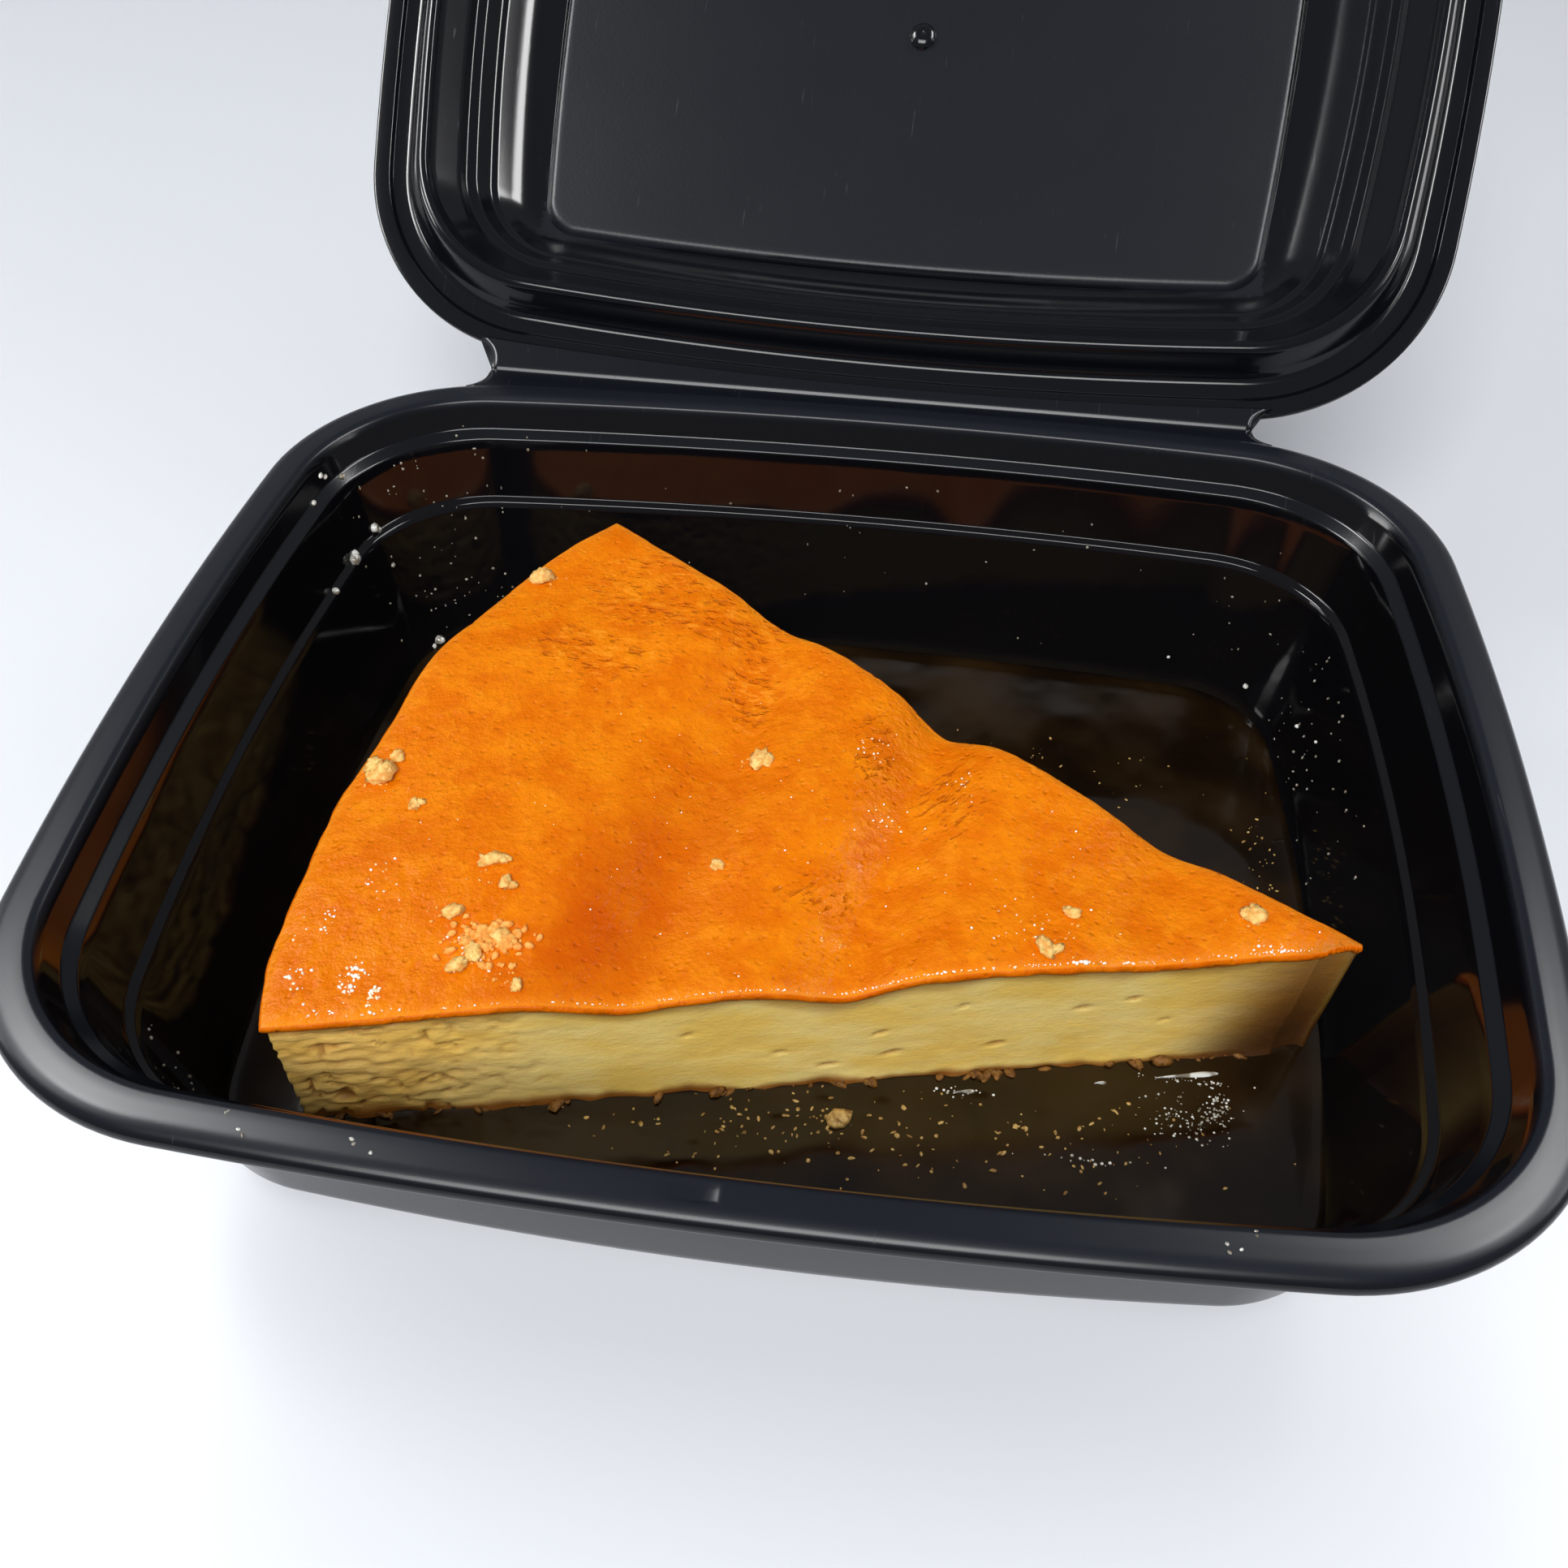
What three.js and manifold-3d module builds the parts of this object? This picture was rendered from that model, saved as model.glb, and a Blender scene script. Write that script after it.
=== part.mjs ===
// A slice of creme caramel flan in the hinged black take-out box that holds it.
// Millimetres, +Z up. The origin is the centre of the tray's underside, +X runs along the hinge
// and +Y points to the hinge, so the slice's long front cut faces -Y.
import * as THREE from 'three';
import { mergeVertices } from 'three/addons/utils/BufferGeometryUtils.js';
import Module from 'manifold-3d';

const wasm = await Module();
wasm.setup();

// The box: its rim's outline, and the moulded sheet that it is made of
const BOX = { halfLength: 104, halfWidth: 86.9, corner: 36.4, bowLong: 5.25, bowShort: 5.5 };
const SHEET = 1.2;
const GAP = 0.3;

// Each section is a list of [inset from the rim's outline, height], from the rim to the middle
const TRAY_SECTION = [
  [0.0, 42.3], [0.0, 43.6], [0.8, 44.5], [2.2, 45.0], [5.4, 45.1], [6.4, 44.7],
  [7.3, 43.0], [8.2, 40.6], [9.6, 38.8], [10.0, 37.4],
  [11.7, 28.8], [12.8, 28.3], [13.2, 27.3],
  [16.7, 4.4], [17.8, 2.1], [20.0, SHEET], [22.5, SHEET],
];
const LID_SECTION = [
  [0.0, 45.45], [3.0, 45.45], [3.7, 46.4], [6.6, 46.5],
  [7.7, 45.2], [9.4, 42.0], [10.2, 41.4], [11.2, 41.4], [12.2, 43.0],
  [15.9, 46.6], [16.9, 48.2], [18.5, 48.5], [20.6, 51.2], [21.6, 51.6],
  [25.4, 55.2], [28.4, 56.6], [31.9, 56.8],
];

// Panels pressed into the tray's floor and the lid's deck
const FLOOR_PANEL = { halfLength: 71.2, halfWidth: 48.5, corner: 6, bowLong: 2.2, bowShort: 1.6 };
const FLOOR_PANEL_RISE = 1.2;
const LID_PANEL = { halfLength: 70.8, halfWidth: 56.4, corner: 6, bowLong: 2.6, bowShort: 2.2 };
const LID_PANEL_DROP = 1.5;
const PANEL_SLOPE = 1.5;
const GATE_NUB = { x: 0, y: 11.2, radius: 2.6, height: 1.3, sunk: 0.2 };

// The living hinge: the fold line, the strips on both sides of it, and the opening in the photograph
const FOLD = { y: 88.4, z: 44.4, yaw: -0.014 };
const FOLD_STRIP = {
  halfLength: 71.4, trayThickness: 0.75, lidThickness: 1.3, flare: 3.2, flareBend: 0.8,
  insideRim: 0.9, steps: 10,
};
const LID_SHIFT = 1.2;
const OPENING = THREE.MathUtils.degToRad(145);

// The slice: a sector round its tip, cut from a flan a little over 300 mm across
const SLICE = {
  tip: [84.2, -20.6],
  radius: 157,
  frontAngle: THREE.MathUtils.degToRad(192.8),
  backAngle: THREE.MathUtils.degToRad(145.2),
  blunt: 6,
  base: SHEET + FLOOR_PANEL_RISE + GAP,
  top: 28.2,
  caramel: 2.0,
};

// How the cuts wander: the tip is blunter at the front cut than at the back one, the round edge
// waves twice over the turn, and the back cut caves in halfway along
const BLUNT_SHARE = { middle: 0.55, swing: 0.45 };
const EDGE_WAVES = [{ height: 0.7, turn: 9, shift: 1 }, { height: 0.5, turn: 23, shift: 0 }];
const PINCH = { depth: 1.6, x: 0.57, y: 0.82, from: 0.5 };

// The top: valleys that a knife or a finger left, and two slow swells
const VALLEYS = [
  { from: [-21, -47], to: [-9, 47], width: 8, depthFrom: 2.2, depthTo: 3.0 },
  { from: [10, -40], to: [22, 25], width: 7, depthFrom: 2.6, depthTo: 4.6 },
  { from: [52, -30], to: [57, 0], width: 7, depthFrom: 0.2, depthTo: 2.0 },
];
const SWELLS = [
  { height: 0.5, alongX: 0.085, alongY: 0.04, shift: 0 },
  { height: 0.4, alongX: -0.05, alongY: 0.13, shift: 2 },
];

// The syrup: its level, the insets of its outer edge from the floor up, and how far below the
// level that edge bends
const SYRUP_LEVEL = 3.3;
const SYRUP_EDGE = { floor: 19.9, bend: 17.9, top: 17.6, bendDrop: 0.5 };

// Pie crumbs on the caramel: place, then half sizes along the crumb, across it and up. Each is
// tilted and turned by its number, and its middle stands a share of its half height up
const CRUMB_TILT = 0.15;
const CRUMB_TURN = 1.9;
const CRUMB_RISE = 0.35;
const CRUMBS = [
  [-67.2, -5.2, 3.2, 2.5, 1.7], [-66.0, -1.0, 1.6, 1.2, 1.0], [-60.0, -11.5, 1.6, 1.1, 0.9],
  [-44.6, -22.2, 2.8, 1.2, 1.1], [-41.6, -26.2, 1.8, 1.1, 0.9], [-47.9, -32.7, 2.0, 1.3, 1.1],
  [-43.6, -36.4, 2.8, 2.0, 1.3], [-39.4, -37.6, 2.6, 1.9, 1.2], [-44.8, -42.3, 2.0, 1.3, 1.1],
  [-35.4, -44.4, 1.4, 1.0, 0.9], [-11.1, -16.0, 1.5, 0.9, 0.8], [-8.1, 8.2, 3.1, 2.0, 1.0],
  [38.4, -27.6, 2.6, 1.4, 1.1], [42.3, -19.9, 1.8, 1.2, 0.9], [69.0, -16.4, 1.9, 2.3, 1.2],
  [-54.0, 49.6, 3.0, 2.1, 1.5],
];

// Steps along each quarter of an outline: half a short side, a corner, half a long side
const SIDE_STEPS = 2;
const CORNER_STEPS = 7;
const LONG_STEPS = 3;

// Steps of the slice: out from the tip, from cut to cut, down the custard, and along each side of
// the hole that it leaves in the syrup
const OUT_STEPS = 20;
const TURN_STEPS = 9;
const CUSTARD_LEVELS = 4;
const HOLE_STEPS = 24;

const MERGE_DISTANCE = 1e-4;
// The tool that cuts the hole reaches from below the tray to above the syrup
const CUTTER = { from: -2, depth: 12 };

const smooth = (low, high, value) => THREE.MathUtils.smoothstep(value, low, high);

// Outline of a rectangle whose four sides bow out as shallow arcs, joined by fillets that touch them
function bowedOutline({ halfLength, halfWidth, corner, bowLong, bowShort }, inset = 0) {
  const a = halfLength - inset;
  const b = halfWidth - inset;
  const fillet = Math.max(corner - inset, 2);
  const longRadius = (a * a + bowLong * bowLong) / (2 * bowLong);
  const shortRadius = (b * b + bowShort * bowShort) / (2 * bowShort);
  const longCentre = new THREE.Vector2(0, b - longRadius);
  const shortCentre = new THREE.Vector2(a - shortRadius, 0);
  const between = shortCentre.clone().sub(longCentre);
  const distance = between.length();
  const toLong = longRadius - fillet;
  const toShort = shortRadius - fillet;
  const along = (toLong ** 2 - toShort ** 2 + distance ** 2) / (2 * distance);
  const across = Math.sqrt(Math.max(toLong ** 2 - along ** 2, 0));
  const unit = between.clone().normalize();
  const side = new THREE.Vector2(unit.y, -unit.x);
  if (side.x + side.y < 0) side.negate();
  const centre = longCentre.clone().addScaledVector(unit, along).addScaledVector(side, across);
  const longAngle = Math.atan2(centre.y - longCentre.y, centre.x - longCentre.x);
  const shortAngle = Math.atan2(centre.y - shortCentre.y, centre.x - shortCentre.x);

  const arc = (middle, radius, from, to, steps) => Array.from({ length: steps }, (_, i) => {
    const angle = from + (to - from) * i / steps;
    return [middle.x + radius * Math.cos(angle), middle.y + radius * Math.sin(angle)];
  });
  const quarter = [
    ...arc(shortCentre, shortRadius, 0, shortAngle, SIDE_STEPS),
    ...arc(centre, fillet, shortAngle, longAngle, CORNER_STEPS),
    ...arc(longCentre, longRadius, longAngle, Math.PI / 2, LONG_STEPS),
  ];
  const inner = quarter.slice(1).reverse();
  return [
    ...quarter, [0, b], ...inner.map(([x, y]) => [-x, y]),
    [-a, 0], ...quarter.slice(1).map(([x, y]) => [-x, -y]),
    [0, -b], ...inner.map(([x, y]) => [x, -y]),
  ];
}

const ringAt = (shape, inset, z) => bowedOutline(shape, inset).map(([x, y]) => [x, y, z]);

// Closed solid through a stack of rings with equal point counts, with a fan at each end
function loft(rings) {
  const count = rings[0].length;
  const points = rings.flat();
  const faces = [];
  for (let level = 0; level < rings.length - 1; level += 1) {
    for (let i = 0; i < count; i += 1) {
      const next = (i + 1) % count;
      const a = level * count + i;
      const b = level * count + next;
      faces.push([a, b, a + count], [b, b + count, a + count]);
    }
  }
  const fan = (ring, start, flip) => {
    const middle = points.length;
    const sum = ring.reduce((total, p) => total.map((value, k) => value + p[k]), [0, 0, 0]);
    points.push(sum.map((value) => value / count));
    for (let i = 0; i < count; i += 1) {
      const next = (i + 1) % count;
      faces.push(flip ? [middle, start + next, start + i] : [middle, start + i, start + next]);
    }
  };
  fan(rings[0], 0, true);
  fan(rings.at(-1), (rings.length - 1) * count, false);
  return solidFrom(points, faces);
}

function solidFrom(points, faces) {
  return new wasm.Manifold(new wasm.Mesh({
    numProp: 3,
    vertProperties: Float32Array.from(points.flat()),
    triVerts: Uint32Array.from(faces.flat()),
  }));
}

// A three.js geometry as a solid, moved by a matrix
function solidOf(geometry, matrix = new THREE.Matrix4()) {
  const bare = geometry.clone().applyMatrix4(matrix);
  bare.deleteAttribute('normal');
  bare.deleteAttribute('uv');
  const merged = mergeVertices(bare, MERGE_DISTANCE);
  return new wasm.Manifold(new wasm.Mesh({
    numProp: 3,
    vertProperties: Float32Array.from(merged.attributes.position.array),
    triVerts: Uint32Array.from(merged.index.array),
  }));
}

function geometryOf(solid) {
  const { vertProperties, triVerts, numProp } = solid.getMesh();
  const positions = new Float32Array(vertProperties.length / numProp * 3);
  for (let i = 0; i < positions.length / 3; i += 1) {
    for (let k = 0; k < 3; k += 1) positions[i * 3 + k] = vertProperties[i * numProp + k];
  }
  const geometry = new THREE.BufferGeometry();
  geometry.setAttribute('position', new THREE.BufferAttribute(positions, 3));
  geometry.setIndex(new THREE.BufferAttribute(Uint32Array.from(triVerts), 1));
  geometry.computeVertexNormals();
  return geometry;
}

// The section moved sideways by a thickness, each corner on its mitre
function offsetSection(section, thickness) {
  const normals = section.slice(1).map(([inset, z], i) => {
    const step = new THREE.Vector2(inset - section[i][0], z - section[i][1]).normalize();
    return new THREE.Vector2(step.y, -step.x);
  });
  return section.map(([inset, z], i) => {
    const before = normals[Math.max(i - 1, 0)];
    const after = normals[Math.min(i, normals.length - 1)];
    const mitre = before.clone().add(after).normalize();
    const reach = thickness / Math.max(mitre.dot(after), 0.5);
    return [inset + mitre.x * reach, z + mitre.y * reach];
  });
}

// A moulded sheet: along the section on one face, back along its offset on the other, and the
// panel pressed up or down in the middle of both
function mouldedShell(section, thickness, panel, panelStep, farPanelStep) {
  const near = section;
  const far = offsetSection(section, thickness);
  const panelRings = ([, z], step) => [
    ringAt(panel, -PANEL_SLOPE, z),
    ringAt(panel, 0, z + step),
    ringAt(panel, PANEL_SLOPE, z + step),
  ];
  const rings = [
    ...panelRings(far.at(-1), farPanelStep).reverse(),
    ...[...far].reverse().map(([inset, z]) => ringAt(BOX, inset, z)),
    ...near.map(([inset, z]) => ringAt(BOX, inset, z)),
    ...panelRings(near.at(-1), panelStep),
  ];
  return loft(thickness > 0 ? rings : rings.reverse());
}

// One strip of the living hinge: a thin plate from inside the rim to just short of the fold line,
// flaring into the rim at both ends
function foldStrip(low, thickness) {
  const { halfLength, flare, flareBend, insideRim, steps } = FOLD_STRIP;
  const bowRadius = (BOX.halfLength ** 2 + BOX.bowLong ** 2) / (2 * BOX.bowLong);
  const rimY = (x) => BOX.halfWidth - bowRadius + Math.sqrt(bowRadius ** 2 - x ** 2) - insideRim;
  const foldY = (x) => FOLD.y + Math.tan(FOLD.yaw) * x - GAP / 2;
  const shape = new THREE.Shape();
  const reach = halfLength + flare;
  const bendY = rimY(reach) + flareBend;
  shape.moveTo(-reach, rimY(reach));
  for (let i = 0; i <= steps; i += 1) {
    const x = halfLength * (2 * i / steps - 1);
    shape.lineTo(x, rimY(x));
  }
  shape.lineTo(reach, rimY(reach));
  shape.quadraticCurveTo(halfLength, bendY, halfLength, foldY(halfLength));
  shape.lineTo(-halfLength, foldY(-halfLength));
  shape.quadraticCurveTo(-halfLength, bendY, -reach, rimY(reach));
  const plate = new THREE.ExtrudeGeometry(shape, {
    depth: thickness, bevelEnabled: false, curveSegments: 4,
  });
  return solidOf(plate, new THREE.Matrix4().makeTranslation(0, 0, low));
}

function makeTray() {
  const shell = mouldedShell(TRAY_SECTION, SHEET, FLOOR_PANEL, FLOOR_PANEL_RISE, 0);
  const { trayThickness } = FOLD_STRIP;
  return shell.add(foldStrip(FOLD.z - GAP / 2 - trayThickness, trayThickness));
}

// The lid as it lies closed on the tray; its group then turns it open about the fold line
function makeLid() {
  const shell = mouldedShell(LID_SECTION, -SHEET, LID_PANEL, -LID_PANEL_DROP, -LID_PANEL_DROP);
  const { x, y, radius, height, sunk } = GATE_NUB;
  const nub = new THREE.SphereGeometry(radius, 12, 6);
  const panelFace = LID_SECTION.at(-1)[1] - LID_PANEL_DROP;
  const place = new THREE.Matrix4().makeTranslation(x, y, panelFace + sunk)
    .scale(new THREE.Vector3(1, 1, (height + sunk) / radius));
  const strip = foldStrip(FOLD.z + GAP / 2, FOLD_STRIP.lidThickness);
  return shell.add(solidOf(nub, place)).add(strip);
}

// A point of the slice's plan: u runs from the tip to the round edge, v from the front cut to the back
function slicePlan(u, v) {
  const { tip, radius, frontAngle, backAngle, blunt } = SLICE;
  const angle = frontAngle + (backAngle - frontAngle) * v;
  const start = blunt * (BLUNT_SHARE.middle + BLUNT_SHARE.swing * Math.cos(Math.PI * v));
  const uneven = EDGE_WAVES.reduce((sum, w) => sum + w.height * Math.sin(w.turn * v + w.shift), 0);
  const r = start + (radius + uneven - start) * u;
  const pinch = PINCH.depth * Math.sin(Math.PI * u) ** 2 * smooth(PINCH.from, 1, v);
  const x = tip[0] + r * Math.cos(angle) - pinch * PINCH.x;
  const y = tip[1] + r * Math.sin(angle) - pinch * PINCH.y;
  return [x, y];
}

// The caramel's surface: a level top with shallow valleys that run from cut to cut
function topHeight(x, y) {
  let height = SLICE.top;
  for (const { from, to, width, depthFrom, depthTo } of VALLEYS) {
    const [dx, dy] = [to[0] - from[0], to[1] - from[1]];
    const length = Math.hypot(dx, dy);
    const along = ((x - from[0]) * dx + (y - from[1]) * dy) / length ** 2;
    const aside = ((x - from[0]) * dy - (y - from[1]) * dx) / length;
    const t = THREE.MathUtils.clamp(along, 0, 1);
    const depth = depthFrom + (depthTo - depthFrom) * t;
    height -= depth * Math.exp(-((aside / width) ** 2));
  }
  for (const { height: rise, alongX, alongY, shift } of SWELLS) {
    height += rise * Math.sin(alongX * x + alongY * y + shift);
  }
  return height;
}

// The slice is soft, so where the tray's wall leans in it gives way to the wall, whose long lower
// part runs between two points of the section, and then to the curve at its foot
const [WALL_TOP, WALL_FOOT] = TRAY_SECTION.slice(12, 14);
const FOOT_CURVE = 0.6;

function keepInTray([x, y], z) {
  const t = THREE.MathUtils.clamp((WALL_TOP[1] - z) / (WALL_TOP[1] - WALL_FOOT[1]), 0, 1);
  const extra = Math.max(WALL_FOOT[1] - z, 0) * FOOT_CURVE;
  const inset = WALL_TOP[0] + (WALL_FOOT[0] - WALL_TOP[0]) * t + extra;
  const bow = BOX.bowLong * (x / BOX.halfLength) ** 2;
  return [x, Math.min(y, BOX.halfWidth - inset - bow - 2 * GAP)];
}

// Closed solid over the slice's plan between an upper and a lower height, with walls in levels
function sliceLayer(upper, lower, levels, uSteps = OUT_STEPS, vSteps = TURN_STEPS) {
  const grid = [];
  for (let i = 0; i <= uSteps; i += 1) {
    for (let j = 0; j <= vSteps; j += 1) grid.push([i / uSteps, j / vSteps]);
  }
  const at = (i, j) => i * (vSteps + 1) + j;
  const rim = [];
  for (let i = 0; i < uSteps; i += 1) rim.push(at(i, 0));
  for (let j = 0; j < vSteps; j += 1) rim.push(at(uSteps, j));
  for (let i = uSteps; i > 0; i -= 1) rim.push(at(i, vSteps));
  for (let j = vSteps; j > 0; j -= 1) rim.push(at(0, j));

  const sheet = (share) => grid.map(([u, v]) => {
    const [x, y] = slicePlan(u, v);
    const z = lower(x, y) + (upper(x, y) - lower(x, y)) * share;
    return [...keepInTray([x, y], z), z];
  });
  const points = [...sheet(1), ...sheet(0)];
  const faces = [];
  for (let i = 0; i < uSteps; i += 1) {
    for (let j = 0; j < vSteps; j += 1) {
      const [a, b, c, d] = [at(i, j), at(i + 1, j), at(i + 1, j + 1), at(i, j + 1)];
      faces.push([a, c, b], [a, d, c]);
      faces.push([a, b, c].map((k) => k + grid.length), [a, c, d].map((k) => k + grid.length));
    }
  }
  let previous = rim;
  for (let level = 1; level <= levels; level += 1) {
    const share = 1 - level / levels;
    const last = level === levels;
    const plane = last ? null : sheet(share);
    const current = rim.map((k) => {
      if (last) return k + grid.length;
      points.push(plane[k]);
      return points.length - 1;
    });
    for (let i = 0; i < rim.length; i += 1) {
      const next = (i + 1) % rim.length;
      faces.push([previous[i], previous[next], current[i]]);
      faces.push([previous[next], current[next], current[i]]);
    }
    previous = current;
  }
  return solidFrom(points, faces);
}

// A crumb: a squashed low ball, turned by its place so that no two lie alike
function crumb([x, y, along, across, up], index) {
  const ball = new THREE.IcosahedronGeometry(1, 1);
  const place = new THREE.Matrix4().compose(
    new THREE.Vector3(x, y, topHeight(x, y) + up * CRUMB_RISE),
    new THREE.Quaternion().setFromEuler(
      new THREE.Euler(CRUMB_TILT * Math.sin(index), 0, CRUMB_TURN * index),
    ),
    new THREE.Vector3(along, across, up),
  );
  return solidOf(ball, place);
}

const caramelFloor = (x, y) => topHeight(x, y) - SLICE.caramel;

function makeCaramelTop() {
  const layer = sliceLayer(topHeight, caramelFloor, 1);
  return CRUMBS.reduce((whole, spec, index) => whole.add(crumb(spec, index)), layer);
}

function makeCustard() {
  return sliceLayer((x, y) => caramelFloor(x, y) - GAP, () => SLICE.base, CUSTARD_LEVELS);
}

// The syrup pool: level on top, over the floor and its panel, cut round the slice
function makeSyrup() {
  const floor = SHEET + GAP;
  const pool = loft([
    ringAt(FLOOR_PANEL, 0, floor + FLOOR_PANEL_RISE),
    ringAt(FLOOR_PANEL, -PANEL_SLOPE - GAP, floor),
    ringAt(BOX, SYRUP_EDGE.floor, floor),
    ringAt(BOX, SYRUP_EDGE.bend, SYRUP_LEVEL - SYRUP_EDGE.bendDrop),
    ringAt(BOX, SYRUP_EDGE.top, SYRUP_LEVEL),
  ]);
  const shape = new THREE.Shape();
  const edge = [];
  const steps = HOLE_STEPS;
  for (let i = 0; i < steps; i += 1) edge.push(slicePlan(i / steps, 0));
  for (let i = 0; i < steps; i += 1) edge.push(slicePlan(1, i / steps));
  for (let i = steps; i > 0; i -= 1) edge.push(slicePlan(i / steps, 1));
  for (let i = steps; i > 0; i -= 1) edge.push(slicePlan(0, i / steps));
  const grown = edge.map(([x, y], i) => {
    const [px, py] = edge[(i + edge.length - 1) % edge.length];
    const [nx, ny] = edge[(i + 1) % edge.length];
    const length = Math.hypot(nx - px, ny - py);
    return [x - (ny - py) / length * 2 * GAP, y + (nx - px) / length * 2 * GAP];
  });
  grown.forEach(([x, y], i) => (i ? shape.lineTo(x, y) : shape.moveTo(x, y)));
  const cutter = new THREE.ExtrudeGeometry(shape, { depth: CUTTER.depth, bevelEnabled: false });
  const lowered = new THREE.Matrix4().makeTranslation(0, 0, CUTTER.from);
  return pool.subtract(solidOf(cutter, lowered));
}

const materials = {
  box: new THREE.MeshStandardMaterial({ color: 0x15181b, roughness: 0.3, metalness: 0 }),
  custard: new THREE.MeshStandardMaterial({ color: 0xd2b05e, roughness: 0.5, metalness: 0 }),
  caramel: new THREE.MeshStandardMaterial({ color: 0xe87708, roughness: 0.3, metalness: 0 }),
  syrup: new THREE.MeshStandardMaterial({ color: 0x2a1606, roughness: 0.08, metalness: 0 }),
};

function named(name, solid, material) {
  const mesh = new THREE.Mesh(geometryOf(solid), material);
  mesh.name = name;
  return mesh;
}

// The lid hangs in two groups: the outer one sits on the fold line and opens, the inner one
// carries the closed lid back to its own place
const hinge = new THREE.Group();
hinge.position.set(0, FOLD.y, FOLD.z);
const foldAxis = new THREE.Vector3(-Math.cos(FOLD.yaw), -Math.sin(FOLD.yaw), 0);
hinge.quaternion.setFromAxisAngle(foldAxis, OPENING);
const closedLid = named('lid', makeLid(), materials.box);
closedLid.position.set(LID_SHIFT, -FOLD.y, -FOLD.z);
hinge.add(closedLid);

const flan = new THREE.Group();
flan.add(named('tray', makeTray(), materials.box));
flan.add(named('custard', makeCustard(), materials.custard));
flan.add(named('caramel_top', makeCaramelTop(), materials.caramel));
flan.add(named('syrup', makeSyrup(), materials.syrup));
flan.add(hinge);

export default flan;
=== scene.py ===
# %% [markdown]
# A slice of creme caramel flan in its black take-out box
#
# The real thing is a soft custard wedge under a wet caramel skin, lying in brown syrup in a glossy
# moulded box whose lid stands open on a living hinge. This lesson loads the measured model first and
# then gives every part of it the surface that the real one shows. All shapes are worked out in
# millimetres with numpy and become metres only when they go into a Blender mesh.

# %% Load the frame
import math

import bpy
import numpy as np
from mathutils import Matrix, Vector


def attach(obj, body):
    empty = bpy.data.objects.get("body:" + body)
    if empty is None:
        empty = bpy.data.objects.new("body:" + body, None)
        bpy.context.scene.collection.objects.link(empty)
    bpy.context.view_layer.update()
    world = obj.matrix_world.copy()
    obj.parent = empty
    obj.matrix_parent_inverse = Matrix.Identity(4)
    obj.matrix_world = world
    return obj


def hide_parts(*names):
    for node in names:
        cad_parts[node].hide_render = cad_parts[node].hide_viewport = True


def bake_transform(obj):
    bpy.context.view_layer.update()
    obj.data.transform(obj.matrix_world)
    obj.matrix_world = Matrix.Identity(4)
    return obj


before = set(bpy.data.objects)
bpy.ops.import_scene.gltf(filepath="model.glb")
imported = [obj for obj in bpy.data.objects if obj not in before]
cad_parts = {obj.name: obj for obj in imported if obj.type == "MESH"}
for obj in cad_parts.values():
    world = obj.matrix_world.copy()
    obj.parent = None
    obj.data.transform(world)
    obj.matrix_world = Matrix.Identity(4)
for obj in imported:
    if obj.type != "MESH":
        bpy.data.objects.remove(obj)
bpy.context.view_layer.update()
MM = 0.001

# %% [markdown]
# The camera is held some 18 cm above the table, just in front of the box. The picture is the
# top of a taller frame, so its optical centre lies low in it: a lens shift says so, and keeps the
# perspective true. Its place is worked out from the point it looks at and two angles.

# %% Camera
VIEW = {"target": (-3.695, -30.137, 0.0), "distance": 217.0,
        "turn": math.radians(8.116), "height": math.radians(54.392), "roll": -0.00189}
PICTURE = 1932
FOCAL = 1640.26
OPTICAL_CENTRE = (928.72, 1288.58)
SENSOR = 36.0
CLIP_FROM = 0.01


def add_camera():
    """Aims the camera: backwards is the direction from the target to the lens, right is level.

    The picture's width, the focal length and the optical centre are in pixels."""
    turn, height, roll = VIEW["turn"], VIEW["height"], VIEW["roll"]
    back = Vector((math.sin(turn) * math.cos(height), -math.cos(turn) * math.cos(height), math.sin(height)))
    right = Vector((-back.y, back.x, 0.0)).normalized()
    up = back.cross(right)
    tilted_right = right * math.cos(roll) + up * math.sin(roll)
    tilted_up = up * math.cos(roll) - right * math.sin(roll)
    data = bpy.data.cameras.new("camera")
    data.sensor_width = SENSOR
    data.lens = FOCAL / PICTURE * SENSOR
    data.shift_x = (PICTURE / 2 - OPTICAL_CENTRE[0]) / PICTURE
    data.shift_y = (OPTICAL_CENTRE[1] - PICTURE / 2) / PICTURE
    data.clip_start = CLIP_FROM
    camera = bpy.data.objects.new("camera", data)
    place = (Vector(VIEW["target"]) + back * VIEW["distance"]) * MM
    axes = Matrix((tilted_right, tilted_up, back)).transposed().to_4x4()
    camera.matrix_world = Matrix.Translation(place) @ axes
    bpy.context.collection.objects.link(camera)
    bpy.context.scene.camera = camera
    return place


print("camera stands at", [round(c, 4) for c in add_camera()])

# %% [markdown]
# Every surface here is a grid of points: rows and columns that a formula fills at once. These helpers
# turn such grids into meshes, join many small lumps into one mesh, and make sure that a closed form
# has its faces outwards by measuring its volume.

# %% Mesh helpers


def grid_faces(rows, columns, start=0, closed=False):
    """Quads between neighbouring rows and columns. A closed grid joins its last column to its first."""
    i, j = np.meshgrid(np.arange(rows - 1), np.arange(columns if closed else columns - 1), indexing="ij")
    a = i * columns + j
    b = i * columns + (j + 1) % columns
    return start + np.stack([a, b, b + columns, a + columns], axis=-1).reshape(-1, 4)


def fan_faces(ring, pole):
    """Triangles between a closed ring of indices and one point, written as faces of three."""
    return np.stack([ring, np.roll(ring, -1), np.full(len(ring), pole)], axis=-1)


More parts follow.
